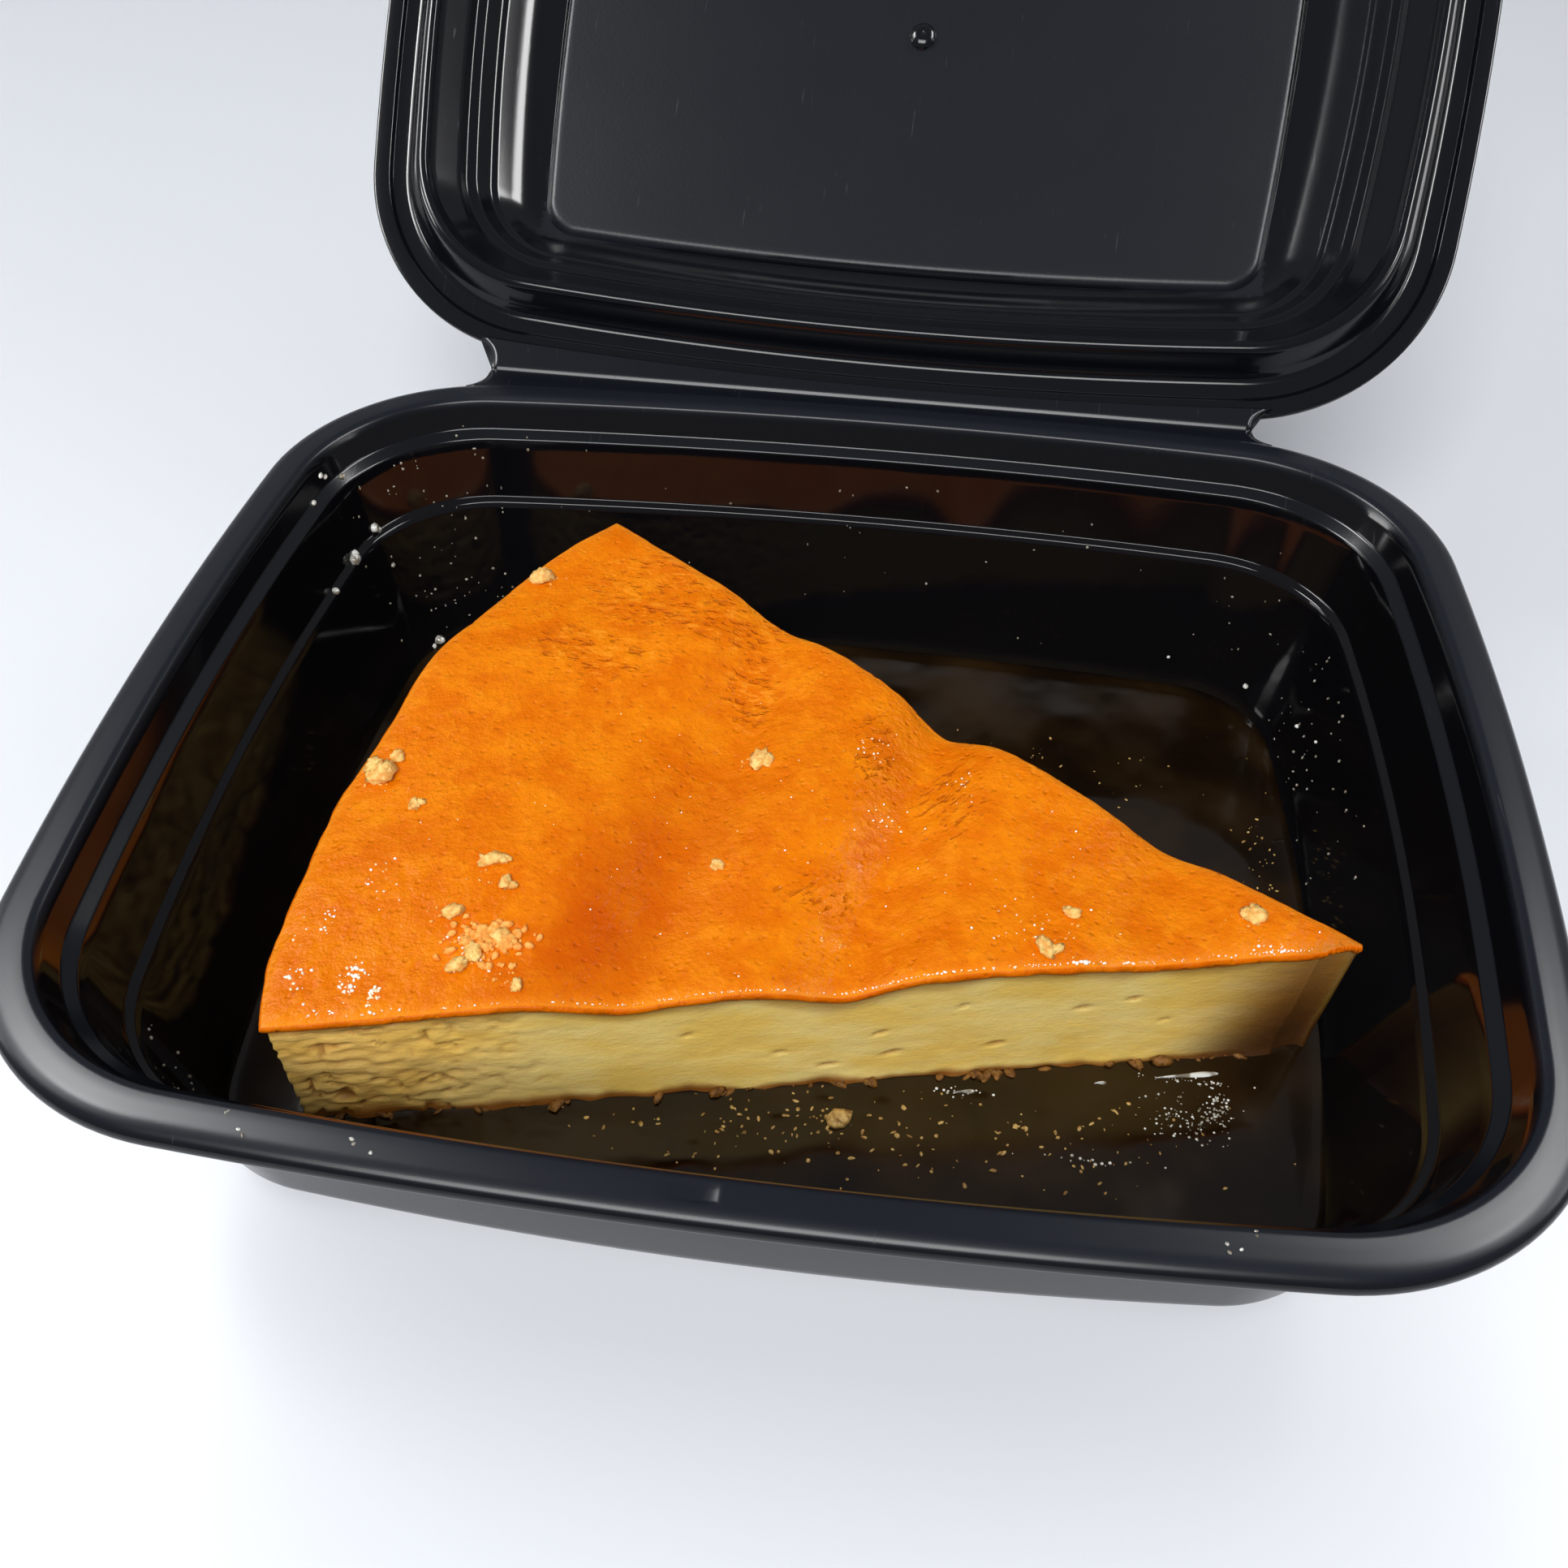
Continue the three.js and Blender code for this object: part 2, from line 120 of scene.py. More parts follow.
def volume(points, faces):
    """Signed volume: the sum of the tetrahedra between the origin and each face's triangles."""
    total = 0.0
    for group in faces:
        corners = points[group]
        for k in range(1, group.shape[1] - 1):
            total += np.einsum("ij,ij->", corners[:, 0], np.cross(corners[:, k], corners[:, k + 1]))
    return total / 6.0


def add_piece(name, points, faces, finish, body, marks=None, replaces=(), closed=True):
    """Makes an object from points in millimetres and groups of faces with equal corner counts.

    marks are named numbers, one for each point, that the finish reads back as attributes."""
    points = np.asarray(points, dtype=float).reshape(-1, 3)
    groups = [np.asarray(group) for group in faces if len(group)]
    if closed and volume(points, groups) < 0:
        groups = [group[:, ::-1] for group in groups]
    mesh = bpy.data.meshes.new(name)
    listed = [corner for group in groups for corner in group.tolist()]
    mesh.from_pydata(points * MM, [], listed, shade_flat=False)
    for mark, values in (marks or {}).items():
        layer = mesh.attributes.new(mark, "FLOAT", "POINT")
        layer.data.foreach_set("value", np.ascontiguousarray(values, dtype=np.float32).ravel())
    mesh.materials.append(finish)
    mesh.validate()
    piece = bpy.data.objects.new(name, mesh)
    bpy.context.collection.objects.link(piece)
    if body:
        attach(piece, body)
    if replaces:
        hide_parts(*replaces)
    print(name, len(points), "points", sum(len(g) * (g.shape[1] - 2) for g in groups), "triangles")
    return piece


# %% [markdown]
# Food is never even, so much of what follows is bent by noise. This is value noise: seeded random
# numbers stand on a lattice, and a point between them takes a smooth blend of its neighbours.

# %% Noise
LATTICE = 64


def ease(t):
    """From 0 to 1 with a level start and a level end: t * t * (3 - 2t)."""
    return t * t * (3 - 2 * t)


def noise(x, y, seed):
    """Smooth numbers from -1 to 1 over a plane: the four nearest lattice numbers, blended by ease."""
    table = np.random.default_rng(seed).uniform(-1, 1, (LATTICE, LATTICE))
    column, row = np.floor(x).astype(int), np.floor(y).astype(int)
    tx, ty = ease(x - column), ease(y - row)
    corner = [[table[(column + i) % LATTICE, (row + j) % LATTICE] for j in (0, 1)] for i in (0, 1)]
    near = corner[0][0] * (1 - tx) + corner[1][0] * tx
    far = corner[0][1] * (1 - tx) + corner[1][1] * tx
    return near * (1 - ty) + far * ty


def layered_noise(x, y, seed, layers=3):
    """Noise with finer, fainter noise on it: each layer has twice the detail and half the height."""
    return sum(noise(x * 2**k, y * 2**k, seed + k) * 0.5**k for k in range(layers))


def smooth_step(low, high, value):
    """0 below low, 1 above high, and a smooth ramp between them."""
    return ease(np.clip((value - low) / (high - low), 0.0, 1.0))


# %% [markdown]
# Shader maths is easier to read as Python than as a list of nodes. A Signal wraps one socket, and
# arithmetic on it adds the Math node. A Finish is one material: its node method makes any other node
# from a type, its settings and its inputs.

# %% Shader expressions


class Signal:
    """A number that varies over a surface: arithmetic on it adds Math nodes to its finish."""

    def __init__(self, finish, socket):
        self.finish = finish
        self.socket = socket

    def __getitem__(self, output):
        return Signal(self.finish, self.socket.node.outputs[output])

    def math(self, operation, *others):
        """One Math node, fed by this number and the others."""
        inputs = dict(enumerate((self, *others)))
        return self.finish.node("ShaderNodeMath", {"operation": operation}, inputs)

    def __add__(self, other):
        return self.math("ADD", other)

    def __sub__(self, other):
        return self.math("SUBTRACT", other)

    def __mul__(self, other):
        return self.math("MULTIPLY", other)

    def __rsub__(self, other):
        return (self * -1.0) + other

    __radd__ = __add__
    __rmul__ = __mul__

    def ramp(self, low, high):
        """0 at low, 1 at high, smooth between them: a Map Range node."""
        inputs = {"Value": self, "From Min": low, "From Max": high}
        return self.finish.node("ShaderNodeMapRange", {"interpolation_type": "SMOOTHSTEP"}, inputs)


class Finish:
    """A material whose Principled shader is filled in by expressions."""

    def __init__(self, name, **fixed):
        self.material = bpy.data.materials.new(name)
        self.material.use_nodes = True
        self.tree = self.material.node_tree
        self.shader = self.tree.nodes["Principled BSDF"]
        for socket, value in fixed.items():
            self.shader.inputs[socket.replace("_", " ")].default_value = value
        self.place = self.node("ShaderNodeTexCoord")["Object"]

    def node(self, kind, settings=None, inputs=None):
        """Any node: its type, its settings, and the values or links of its sockets by name or number."""
        made = self.tree.nodes.new(kind)
        for setting, value in (settings or {}).items():
            setattr(made, setting, value)
        for key, value in (inputs or {}).items():
            if isinstance(value, Signal):
                self.tree.links.new(value.socket, made.inputs[key])
            else:
                made.inputs[key].default_value = value
        return Signal(self, made.outputs[0])

    def pattern(self, kind, size_mm, mapping="POINT", placing=None, **inputs):
        """A texture of one size on the object's own coordinates, stretched or turned by a Mapping node."""
        placing = {"Vector": self.place, **(placing or {})}
        where = self.node("ShaderNodeMapping", {"vector_type": mapping}, placing)
        return self.node(kind, {}, {"Vector": where, "Scale": 1 / (size_mm * MM), **inputs})

    def grain(self, size_mm, detail=2.0, roughness=0.5, stretch=(1, 1, 1)):
        """Noise from 0 to 1 whose lumps are about size_mm across on the object."""
        looks = {"Detail": detail, "Roughness": roughness}
        return self.pattern("ShaderNodeTexNoise", size_mm, "POINT", {"Scale": stretch}, **looks)

    def streaks(self, size_mm, long, turn):
        """Noise drawn out along one direction of the plan: turned first, then stretched."""
        placing = {"Rotation": (0.0, 0.0, turn), "Scale": (long, 1.0, 1.0)}
        return self.pattern("ShaderNodeTexNoise", size_mm, "TEXTURE", placing, Detail=3, Roughness=0.55)

    def cells(self, size_mm):
        """Distance to scattered points about size_mm apart: the base of pits."""
        return self.pattern("ShaderNodeTexVoronoi", size_mm)

    def mark(self, name):
        """A number that the mesh carries at each of its points."""
        return self.node("ShaderNodeAttribute", {"attribute_name": name})["Fac"]

    def mix(self, share, first, second):
        """Two colours blended by a share from 0 to 1: a Mix node on colours."""
        settings = {"data_type": "RGBA", "clamp_factor": True}
        return self.node("ShaderNodeMix", settings, {0: share, 6: first, 7: second})[2]

    def bump(self, height, distance_mm, strength):
        """Shading as if a height of 1 stood this many millimetres above the surface."""
        inputs = {"Height": height, "Distance": distance_mm * MM, "Strength": strength}
        return self.node("ShaderNodeBump", {}, inputs)

    def done(self, **links):
        """Feeds the shader's own sockets and hands back the material."""
        for socket, value in links.items():
            self.tree.links.new(value.socket, self.shader.inputs[socket.replace("_", " ")])
        return self.material


def paint(red, green, blue):
    """A colour given as it looks on a screen, 0 to 255, turned into the shader's linear light."""
    def linear(value):
        share = value / 255
        return share / 12.92 if share <= 0.04045 else ((share + 0.055) / 1.055) ** 2.4
    return (linear(red), linear(green), linear(blue), 1.0)


# %% [markdown]
# The box is vacuum-thin black polypropylene. It is satin where hands touch it and glossier inside.
# One finish serves both halves; a mark on the mesh says how satin each place is, and another where
# the mould left its fine pebble. Scratches are long thin noise.

# %% Black plastic


def plastic_finish():
    """Near black with a cool cast, roughness by the satin mark, pebble and scratches as bump."""
    finish = Finish("black_plastic", Specular_IOR_Level=0.33, IOR=1.49)
    satin = finish.mark("satin")
    pebble = finish.mark("pebble")
    blotch = finish.grain(22, detail=3)
    fine = finish.grain(0.55, detail=1)
    scratch = finish.grain(3.0, detail=2, stretch=(6.0, 0.22, 0.6)).ramp(0.70, 0.78)
    base = finish.mix(satin * 0.9, paint(9, 9, 12), paint(13, 19, 28))
    base = finish.mix(scratch * satin * 0.25, base, paint(70, 74, 78))
    rough = 0.06 + satin * 0.22 + blotch * 0.04 + scratch * 0.1 + pebble * 0.10
    height = fine * (0.04 + pebble * 0.5) + blotch * 0.5
    return finish.done(Base_Color=base, Roughness=rough, Normal=finish.bump(height, 0.06, 0.5))


plastic = plastic_finish()
SATIN = {"outside": 0.8, "ledge": 0.4, "lid": 0.2, "panel": 0.8, "button": 0.3, "hinge": 0.6}


def plastic_marks(satin, pebble=0.0):
    """The two marks that the plastic reads, one number for each point."""
    return {"satin": satin, "pebble": np.full(len(satin), pebble)}

# %% [markdown]
# Both halves of the box share one outline: a rectangle whose sides bow outwards a little, with wide
# round corners. Each side is a shallow arc, and a fillet touches two of them. Moved inwards, the same
# formula gives every ring of the box, so a wall is that outline carried along a section.

# %% Outline of the box
BOX = {"long": 104.0, "wide": 86.9, "corner": 36.4, "bow_long": 5.25, "bow_short": 5.5}
FLOOR_PANEL = {"long": 71.2, "wide": 48.5, "corner": 6.0, "bow_long": 2.2, "bow_short": 1.6}
LID_PANEL = {"long": 70.8, "wide": 56.4, "corner": 6.0, "bow_long": 2.6, "bow_short": 2.2}
LEAST_CORNER = 2.0
RING_STEPS = ((14, 1.0), (26, 1.0), (20, 1.8))


def outline(shape, inset=0.0):
    """Ring of points: half a short side as an arc, the fillet, half a long side, mirrored four ways.

    RING_STEPS says for each of the three how many points it has and how they crowd to its end."""
    a, b = shape["long"] - inset, shape["wide"] - inset
    fillet = max(shape["corner"] - inset, LEAST_CORNER)
    long_radius = (a * a + shape["bow_long"] ** 2) / (2 * shape["bow_long"])
    short_radius = (b * b + shape["bow_short"] ** 2) / (2 * shape["bow_short"])
    long_centre, short_centre = np.array([0, b - long_radius]), np.array([a - short_radius, 0])
    between = short_centre - long_centre
    distance = np.hypot(*between)
    to_long, to_short = long_radius - fillet, short_radius - fillet
    along = (to_long**2 - to_short**2 + distance**2) / (2 * distance)
    across = math.sqrt(max(to_long**2 - along**2, 0))
    unit = between / distance
    side = np.array([unit[1], -unit[0]])
    side = side if side.sum() > 0 else -side
    centre = long_centre + unit * along + side * across
    long_angle = math.atan2(*(centre - long_centre)[::-1])
    short_angle = math.atan2(*(centre - short_centre)[::-1])
    arcs = ((short_centre, short_radius, 0.0, short_angle), (centre, fillet, short_angle, long_angle),
            (long_centre, long_radius, long_angle, math.pi / 2))
    pieces = [arc(*spec, *steps) for spec, steps in zip(arcs, RING_STEPS)]
    quarter = np.vstack(pieces + [[[0.0, b]]])
    back = quarter[::-1]
    turns = [quarter[:-1], back[:-1] * (-1, 1), -quarter[:-1], back[:-1] * (1, -1)]
    return np.vstack(turns)


def arc(centre, radius, start, end, steps, crowd):
    """Points on a circle from one angle to just short of another, closer to its end where crowd is over 1."""
    angle = start + (end - start) * (1 - (1 - np.arange(steps) / steps) ** crowd)
    return centre + radius * np.stack([np.cos(angle), np.sin(angle)], axis=-1)


def ring_at(shape, inset, z):
    """The outline at one height, as points in space."""
    flat = outline(shape, inset)
    return np.column_stack([flat, np.full(len(flat), z)])


# %% [markdown]
# A section lists how far each bend of the wall is inside the rim, how high it is, and how wide its
# fold is rounded. The sheet has two faces, so the section is followed on one face and back on the
# other. Rounding happens on the finished rings: each bend becomes a small curve between its
# neighbours, which is what makes the thin lines of light along the real box.

# %% Moulded sheets
SHEET = 1.2
WALL_TOP, WALL_FOOT = (13.2, 27.3), (16.7, 4.4)
TRAY_SECTION = np.array([
    [0.0, 42.3, 0.5], [0.0, 43.6, 0.6], [0.8, 44.5, 0.9], [2.2, 45.0, 0.5], [3.2, 45.05, 0.3],
    [4.3, 45.1, 0.3], [5.6, 45.1, 0.3], [6.4, 44.7, 0.3], [7.0, 43.4, 0.4], [8.1, 40.3, 0.25],
    [9.7, 39.1, 0.25], [10.1, 37.4, 0.3], [11.7, 28.8, 0.25], [12.8, 28.3, 0.25], [*WALL_TOP, 0.3],
    [*WALL_FOOT, 1.5], [17.8, 2.1, 1.5], [20.0, 1.2, 1.2], [22.5, 1.2, 0.8]])
VENT = {"x": -2.8, "half_width": 2.3, "side": 0.5, "from_y": -84.2, "to_y": -82.0, "end": 0.4,
        "from_z": 42.5, "to_z": 44.0, "depth": 0.3}
LID_SECTION = np.array([
    [0.0, 45.45, 0.5], [3.0, 45.45, 0.3], [3.7, 46.4, 0.4], [6.6, 46.5, 0.8], [7.7, 45.2, 0.6],
    [9.4, 42.0, 0.8], [10.2, 41.4, 0.4], [11.2, 41.4, 0.4], [12.2, 43.0, 0.7], [15.9, 46.6, 0.6],
    [16.9, 48.2, 0.5], [18.5, 48.5, 0.5], [20.6, 51.2, 0.5], [21.6, 51.6, 0.4], [25.4, 55.2, 2.6],
    [28.4, 56.6, 2.0], [31.9, 56.8, 1.2]])
FLOOR_PANEL_RISE = 1.2
LID_PANEL_DROP = 1.5
PANEL_SLOPE = 1.5
PANEL_FOLD = 0.8
ROUND_STEPS = 4
ROUND_LIMIT = 0.48
MITRE_LIMIT = 0.5
CLOSING = 0.999


def offset_section(section, thickness):
    """The section moved sideways by the sheet's thickness, each bend on its mitre."""
    step = np.diff(section[:, :2], axis=0)
    step /= np.linalg.norm(step, axis=1, keepdims=True)
    normal = np.column_stack([step[:, 1], -step[:, 0]])
    before, after = np.vstack([normal[:1], normal]), np.vstack([normal, normal[-1:]])
    mitre = before + after
    mitre /= np.linalg.norm(mitre, axis=1, keepdims=True)
    reach = thickness / np.maximum((mitre * after).sum(axis=1), MITRE_LIMIT)
    return np.column_stack([section[:, :2] + mitre * reach[:, None], section[:, 2]])


def round_levels(rings, radii):
    """Each ring becomes a short curve: quadratic arcs from towards the ring before to the ring after."""
    before, here, after = rings[:-2], rings[1:-1], rings[2:]

    def toward(other):
        gap = np.maximum(np.linalg.norm(other - here, axis=-1, keepdims=True), 1e-9)
        return here + (other - here) * np.minimum(radii[1:-1, None, None] / gap, ROUND_LIMIT)

    start, end = toward(before), toward(after)
    t = np.linspace(0, 1, ROUND_STEPS + 1)[None, :, None, None]
    curves = start[:, None] * (1 - t) ** 2 + here[:, None] * 2 * t * (1 - t) + end[:, None] * t**2
    count = rings.shape[1]
    return np.concatenate([rings[:1], curves.reshape(-1, count, 3), rings[-1:]])


def moulded_sheet(section, thickness, panel, panel_step, far_panel_step):
    """Rings from the middle of the far face, round the rim, to the middle of the near face."""
    far = offset_section(section, thickness)

    def panel_rings(z, step):
        edge = ((-PANEL_SLOPE, z), (0.0, z + step), (PANEL_SLOPE, z + step))
        return [(panel, inset, height, PANEL_FOLD) for inset, height in edge]

    levels = panel_rings(far[-1, 1], far_panel_step)[::-1]
    levels += [(BOX, inset, z, radius) for inset, z, radius in far[::-1]]
    levels += [(BOX, inset, z, radius) for inset, z, radius in section]
    levels += panel_rings(section[-1, 1], panel_step)
    rings = np.stack([ring_at(shape, inset, z) for shape, inset, z, _ in levels])
    rings = round_levels(rings, np.array([level[3] for level in levels]))
    middles = [rings[end] + (rings[end].mean(axis=0) - rings[end]) * CLOSING for end in (0, -1)]
    return np.concatenate([middles[:1], rings, middles[1:]])


def sheet_faces(rings):
    """Quads between the rings, and a fan of triangles over the small hole at each end."""
    levels, count, _ = rings.shape
    first, last = np.arange(count), np.arange(count) + (levels - 1) * count
    poles = levels * count + np.array([0, 1])
    caps = np.vstack([fan_faces(first[::-1], poles[0]), fan_faces(last, poles[1])])
    points = np.vstack([rings.reshape(-1, 3), rings[0].mean(axis=0), rings[-1].mean(axis=0)])
    return points, [grid_faces(levels, count, closed=True), caps]


# %% [markdown]
# The tray is the deeper half. Its rim is broad and satin, two thin ledges run round the wall, and a
# low panel stands up in the floor. The satin mark falls off below the rim, because the inside is the
# glossy side of the mould.

# %% Tray
LEDGE = {"z": 39.7, "reach": 0.7}
SATIN_FROM, SATIN_TO = 43.4, 44.9


def press_vent(rings):
    """Lowers the small dent in the front rim: its depth times soft steps at its sides, end and edge."""
    x, y, z = rings[..., 0], rings[..., 1], rings[..., 2]
    aside = np.abs(x - VENT["x"])
    share = smooth_step(VENT["half_width"] + VENT["side"], VENT["half_width"] - VENT["side"], aside)
    share *= smooth_step(VENT["from_y"] - VENT["end"], VENT["from_y"] + VENT["end"], y)
    share *= (y < VENT["to_y"]) * smooth_step(VENT["from_z"], VENT["to_z"], z)
    z -= VENT["depth"] * share


def add_tray():
    """The section carried round the outline, satin on the rim and outside, glossy within."""
    rings = moulded_sheet(TRAY_SECTION, SHEET, FLOOR_PANEL, FLOOR_PANEL_RISE, 0.0)
    press_vent(rings)
    points, faces = sheet_faces(rings)
    levels, count, _ = rings.shape
    inside = np.append(np.repeat(np.arange(levels), count), [0, levels]) > levels / 2
    z = points[:, 2]
    ledge = SATIN["ledge"] * (np.abs(z - LEDGE["z"]) < LEDGE["reach"])
    satin = np.where(inside, np.maximum(smooth_step(SATIN_FROM, SATIN_TO, z), ledge), SATIN["outside"])
    add_piece("tray_shell", points, faces, plastic, "tray", plastic_marks(satin), ["tray"])


add_tray()

# %% [markdown]
# The lid is drawn closed, as the mould made it, and then swung open about the fold line by the angle
# that the photograph shows. Rodrigues' formula turns points about an axis. A small button in its
# middle is where the plastic entered the mould.

# %% Lid
FOLD = {"y": 88.4, "z": 44.4, "yaw": -0.014}
OPENING = math.radians(145)
LID_SHIFT = 1.2
GATE_NUB = {"y": 11.2, "radius": 2.6, "height": 1.3, "dimple": 0.35, "dimple_reach": 0.2, "root": 0.4}
GATE_RINGS = np.array([0.0, 0.12, 0.24, 0.36, 0.5, 0.64, 0.78, 0.88, 0.96, 1.0, 1.25])
GATE_STEPS = 40
PANEL_BAND = 2.0


def swing(points, angle):
    """Turns points about the fold line: p cos + (axis x p) sin + axis (axis . p) (1 - cos)."""
    axis = np.array([-math.cos(FOLD["yaw"]), -math.sin(FOLD["yaw"]), 0.0])
    pivot = np.array([0.0, FOLD["y"], FOLD["z"]])
    arm = points - pivot
    along = (arm @ axis)[..., None] * axis
    turned = arm * math.cos(angle) + np.cross(axis, arm) * math.sin(angle)
    return pivot + turned + along * (1 - math.cos(angle))


def open_lid(points):
    """From the closed lid's own place to where it stands open."""
    return swing(points + (LID_SHIFT, 0.0, 0.0), OPENING)


def gate_button(z):
    """A turned profile: a low dome with a dimple at its top, hanging below the lid's panel."""
    drop = np.sqrt(np.clip(1 - GATE_RINGS**2, 0, 1)) * GATE_NUB["height"]
    drop -= GATE_NUB["dimple"] * np.exp(-((GATE_RINGS / GATE_NUB["dimple_reach"]) ** 2))
    drop[-1] = -GATE_NUB["root"]
    angle = np.linspace(0, 2 * math.pi, GATE_STEPS, endpoint=False)
    reach = GATE_NUB["radius"] * GATE_RINGS[:, None]
    x, y = reach * np.cos(angle), GATE_NUB["y"] + reach * np.sin(angle)
    return np.stack([x, y, np.broadcast_to(z - drop[:, None], x.shape)], axis=-1)


def add_lid():
    """The section carried round the outline and swung open, with the button standing on its panel."""
    rings = moulded_sheet(LID_SECTION, -SHEET, LID_PANEL, -LID_PANEL_DROP, -LID_PANEL_DROP)
    points, faces = sheet_faces(rings)
    ceiling = LID_SECTION[-1, 1]
    in_panel = np.abs(points[:, :2]).max(axis=1) < LID_PANEL["long"]
    in_panel &= (np.abs(points[:, 1]) < LID_PANEL["wide"]) & (points[:, 2] > ceiling - PANEL_BAND)
    marks = plastic_marks(np.where(in_panel, SATIN["panel"], SATIN["lid"]), in_panel.astype(float))
    add_piece("lid_shell", open_lid(points), faces, plastic, "lid", marks, ["lid"])
    button = gate_button(ceiling - LID_PANEL_DROP)
    rows, columns, _ = button.shape
    points = open_lid(button.reshape(-1, 3))
    faces = [grid_faces(rows, columns, closed=True)[:, ::-1]]
    marks = plastic_marks(np.full(len(points), SATIN["button"]))
    add_piece("lid_gate_button", points, faces, plastic, "lid", marks, closed=False)


add_lid()

# %% [markdown]
# The living hinge is a strip of the same sheet, thinned along one line so that it folds for ever. It
# is drawn flat, as if the box were fully open, then bent up to where the lid stands.

# %% Living hinge
STRIP = {"half_length": 71.4, "flare": 3.2, "thickness": 0.7, "tuck": 1.2, "lift": 0.05,
         "score": 0.22, "score_reach": 0.55}
BEND = 0.5


def rim_edge(x):
    """How far back the rim's long side reaches at x: the arc of the bowed side."""
    radius = (BOX["long"] ** 2 + BOX["bow_long"] ** 2) / (2 * BOX["bow_long"])
    return BOX["wide"] - radius + np.sqrt(radius**2 - x**2)


def add_hinge():
    """A flat strip, x along the fold and d across it, thinned at d = 0 and bent up past it."""
    coarse, fine = np.linspace(0.12, 1, 12), np.linspace(-0.1, 0.1, 17)
    across = np.concatenate([-coarse[::-1], fine, coarse])
    share = np.linspace(-1, 1, 121)
    x = share[:, None] * (STRIP["half_length"] + STRIP["flare"] * np.abs(across) ** 4)
    fold_y = FOLD["y"] + math.tan(FOLD["yaw"]) * x
    width = fold_y - rim_edge(x) + STRIP["tuck"]
    d = across * width
    score = STRIP["score"] * np.exp(-((d / STRIP["score_reach"]) ** 2))
    both_faces = [STRIP["lift"] - score, STRIP["lift"] - STRIP["thickness"] + score]
    rise = math.pi - OPENING
    angle = rise * smooth_step(-BEND, BEND, d)
    past = np.where(d > 0, d, 0.0)
    sheets = [np.stack([x, fold_y + np.minimum(d, 0) + past * math.cos(rise) - h * np.sin(angle),
                        FOLD["z"] + past * math.sin(rise) + h * np.cos(angle)], axis=-1) for h in both_faces]
    loop = np.concatenate([sheets[0], sheets[1][:, ::-1]], axis=1)
    rows, columns, _ = loop.shape
    caps = np.stack([np.arange(columns)[::-1], np.arange(columns) + (rows - 1) * columns])
    points = loop.reshape(-1, 3)
    marks = plastic_marks(np.full(len(points), SATIN["hinge"]))
    faces = [grid_faces(rows, columns, closed=True), caps]
    hinge = add_piece("living_hinge", points, faces, plastic, None, marks)
    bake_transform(hinge)


add_hinge()

# %% [markdown]
# The slice is a sector of a large flan, cut from the round edge to a blunt tip. Its plan is polar: u
# runs out from the tip and v turns from the front cut to the back one. The caramel's surface is level
# but for three shallow valleys that a knife or a finger left, and a slow swell.

# %% Plan and height of the slice
SLICE = {"tip": (84.2, -20.6), "radius": 157.0, "front": math.radians(192.8), "back": math.radians(145.2),
         "blunt": 6.0, "base": 2.7, "top": 28.2, "caramel": 2.0}
VALLEYS = (((-21, -47), (-9, 47), 8.0, 2.2, 3.0), ((10, -40), (22, 25), 7.0, 2.6, 4.6),
           ((52, -30), (57, 0), 7.0, 0.2, 2.0))
PINCH = 1.6
PINCH_WAY = (0.57, 0.82)


def slice_plan(u, v):
    """Polar plan round the tip: r grows with u, the angle turns with v, and the back cut caves in.

    The tip is blunt at the front cut, where r starts at its whole bluntness, and sharp at the back one."""
    angle = SLICE["front"] + (SLICE["back"] - SLICE["front"]) * v
    start = SLICE["blunt"] * (0.1 + 0.9 * (1 - v) ** 2)
    uneven = 0.7 * np.sin(9 * v + 1) + 0.5 * np.sin(23 * v)
    r = start + (SLICE["radius"] + uneven - start) * u
    pinch = PINCH * np.sin(math.pi * u) ** 2 * smooth_step(0.5, 1, v)
    return (SLICE["tip"][0] + r * np.cos(angle) - pinch * PINCH_WAY[0],
            SLICE["tip"][1] + r * np.sin(angle) - pinch * PINCH_WAY[1])


def top_height(x, y):
    """Level, less a bell-shaped valley along each line, plus two slow waves."""
    height = np.full(np.shape(x), SLICE["top"])
    for (x0, y0), (x1, y1), width, depth_from, depth_to in VALLEYS:
        dx, dy = x1 - x0, y1 - y0
        length = math.hypot(dx, dy)
        along = np.clip(((x - x0) * dx + (y - y0) * dy) / length**2, 0, 1)
        aside = ((x - x0) * dy - (y - y0) * dx) / length
        height = height - (depth_from + (depth_to - depth_from) * along) * np.exp(-((aside / width) ** 2))
    return height + 0.5 * np.sin(0.085 * x + 0.04 * y) + 0.4 * np.sin(0.13 * y - 0.05 * x + 2)


WALL_GAP = 0.6
FOOT_LEAN = 0.6


def keep_in_tray(x, y, z):
    """Where the tray's wall leans in, the soft slice gives way to it and keeps a small gap."""
    (high_inset, high_z), (low_inset, low_z) = WALL_TOP, WALL_FOOT
    t = np.clip((high_z - z) / (high_z - low_z), 0, 1)
    inset = high_inset + (low_inset - high_inset) * t + np.clip(low_z - z, 0, None) * FOOT_LEAN
    limit = BOX["wide"] - inset - BOX["bow_long"] * (x / BOX["long"]) ** 2 - WALL_GAP
    return np.minimum(y, limit)


def unit_grid(shape):
    """The two parameters of the plan, each from 0 to 1, on a grid."""
    return np.meshgrid(np.linspace(0, 1, shape[0]), np.linspace(0, 1, shape[1]), indexing="ij")


def edge_indices(rows, columns):
    """Indices round the rim of a grid: down its first column, along, up its last and back."""
    table = np.arange(rows * columns).reshape(rows, columns)
    return np.concatenate([table[:-1, 0], table[-1, :-1], table[:0:-1, -1], table[0, :0:-1]])


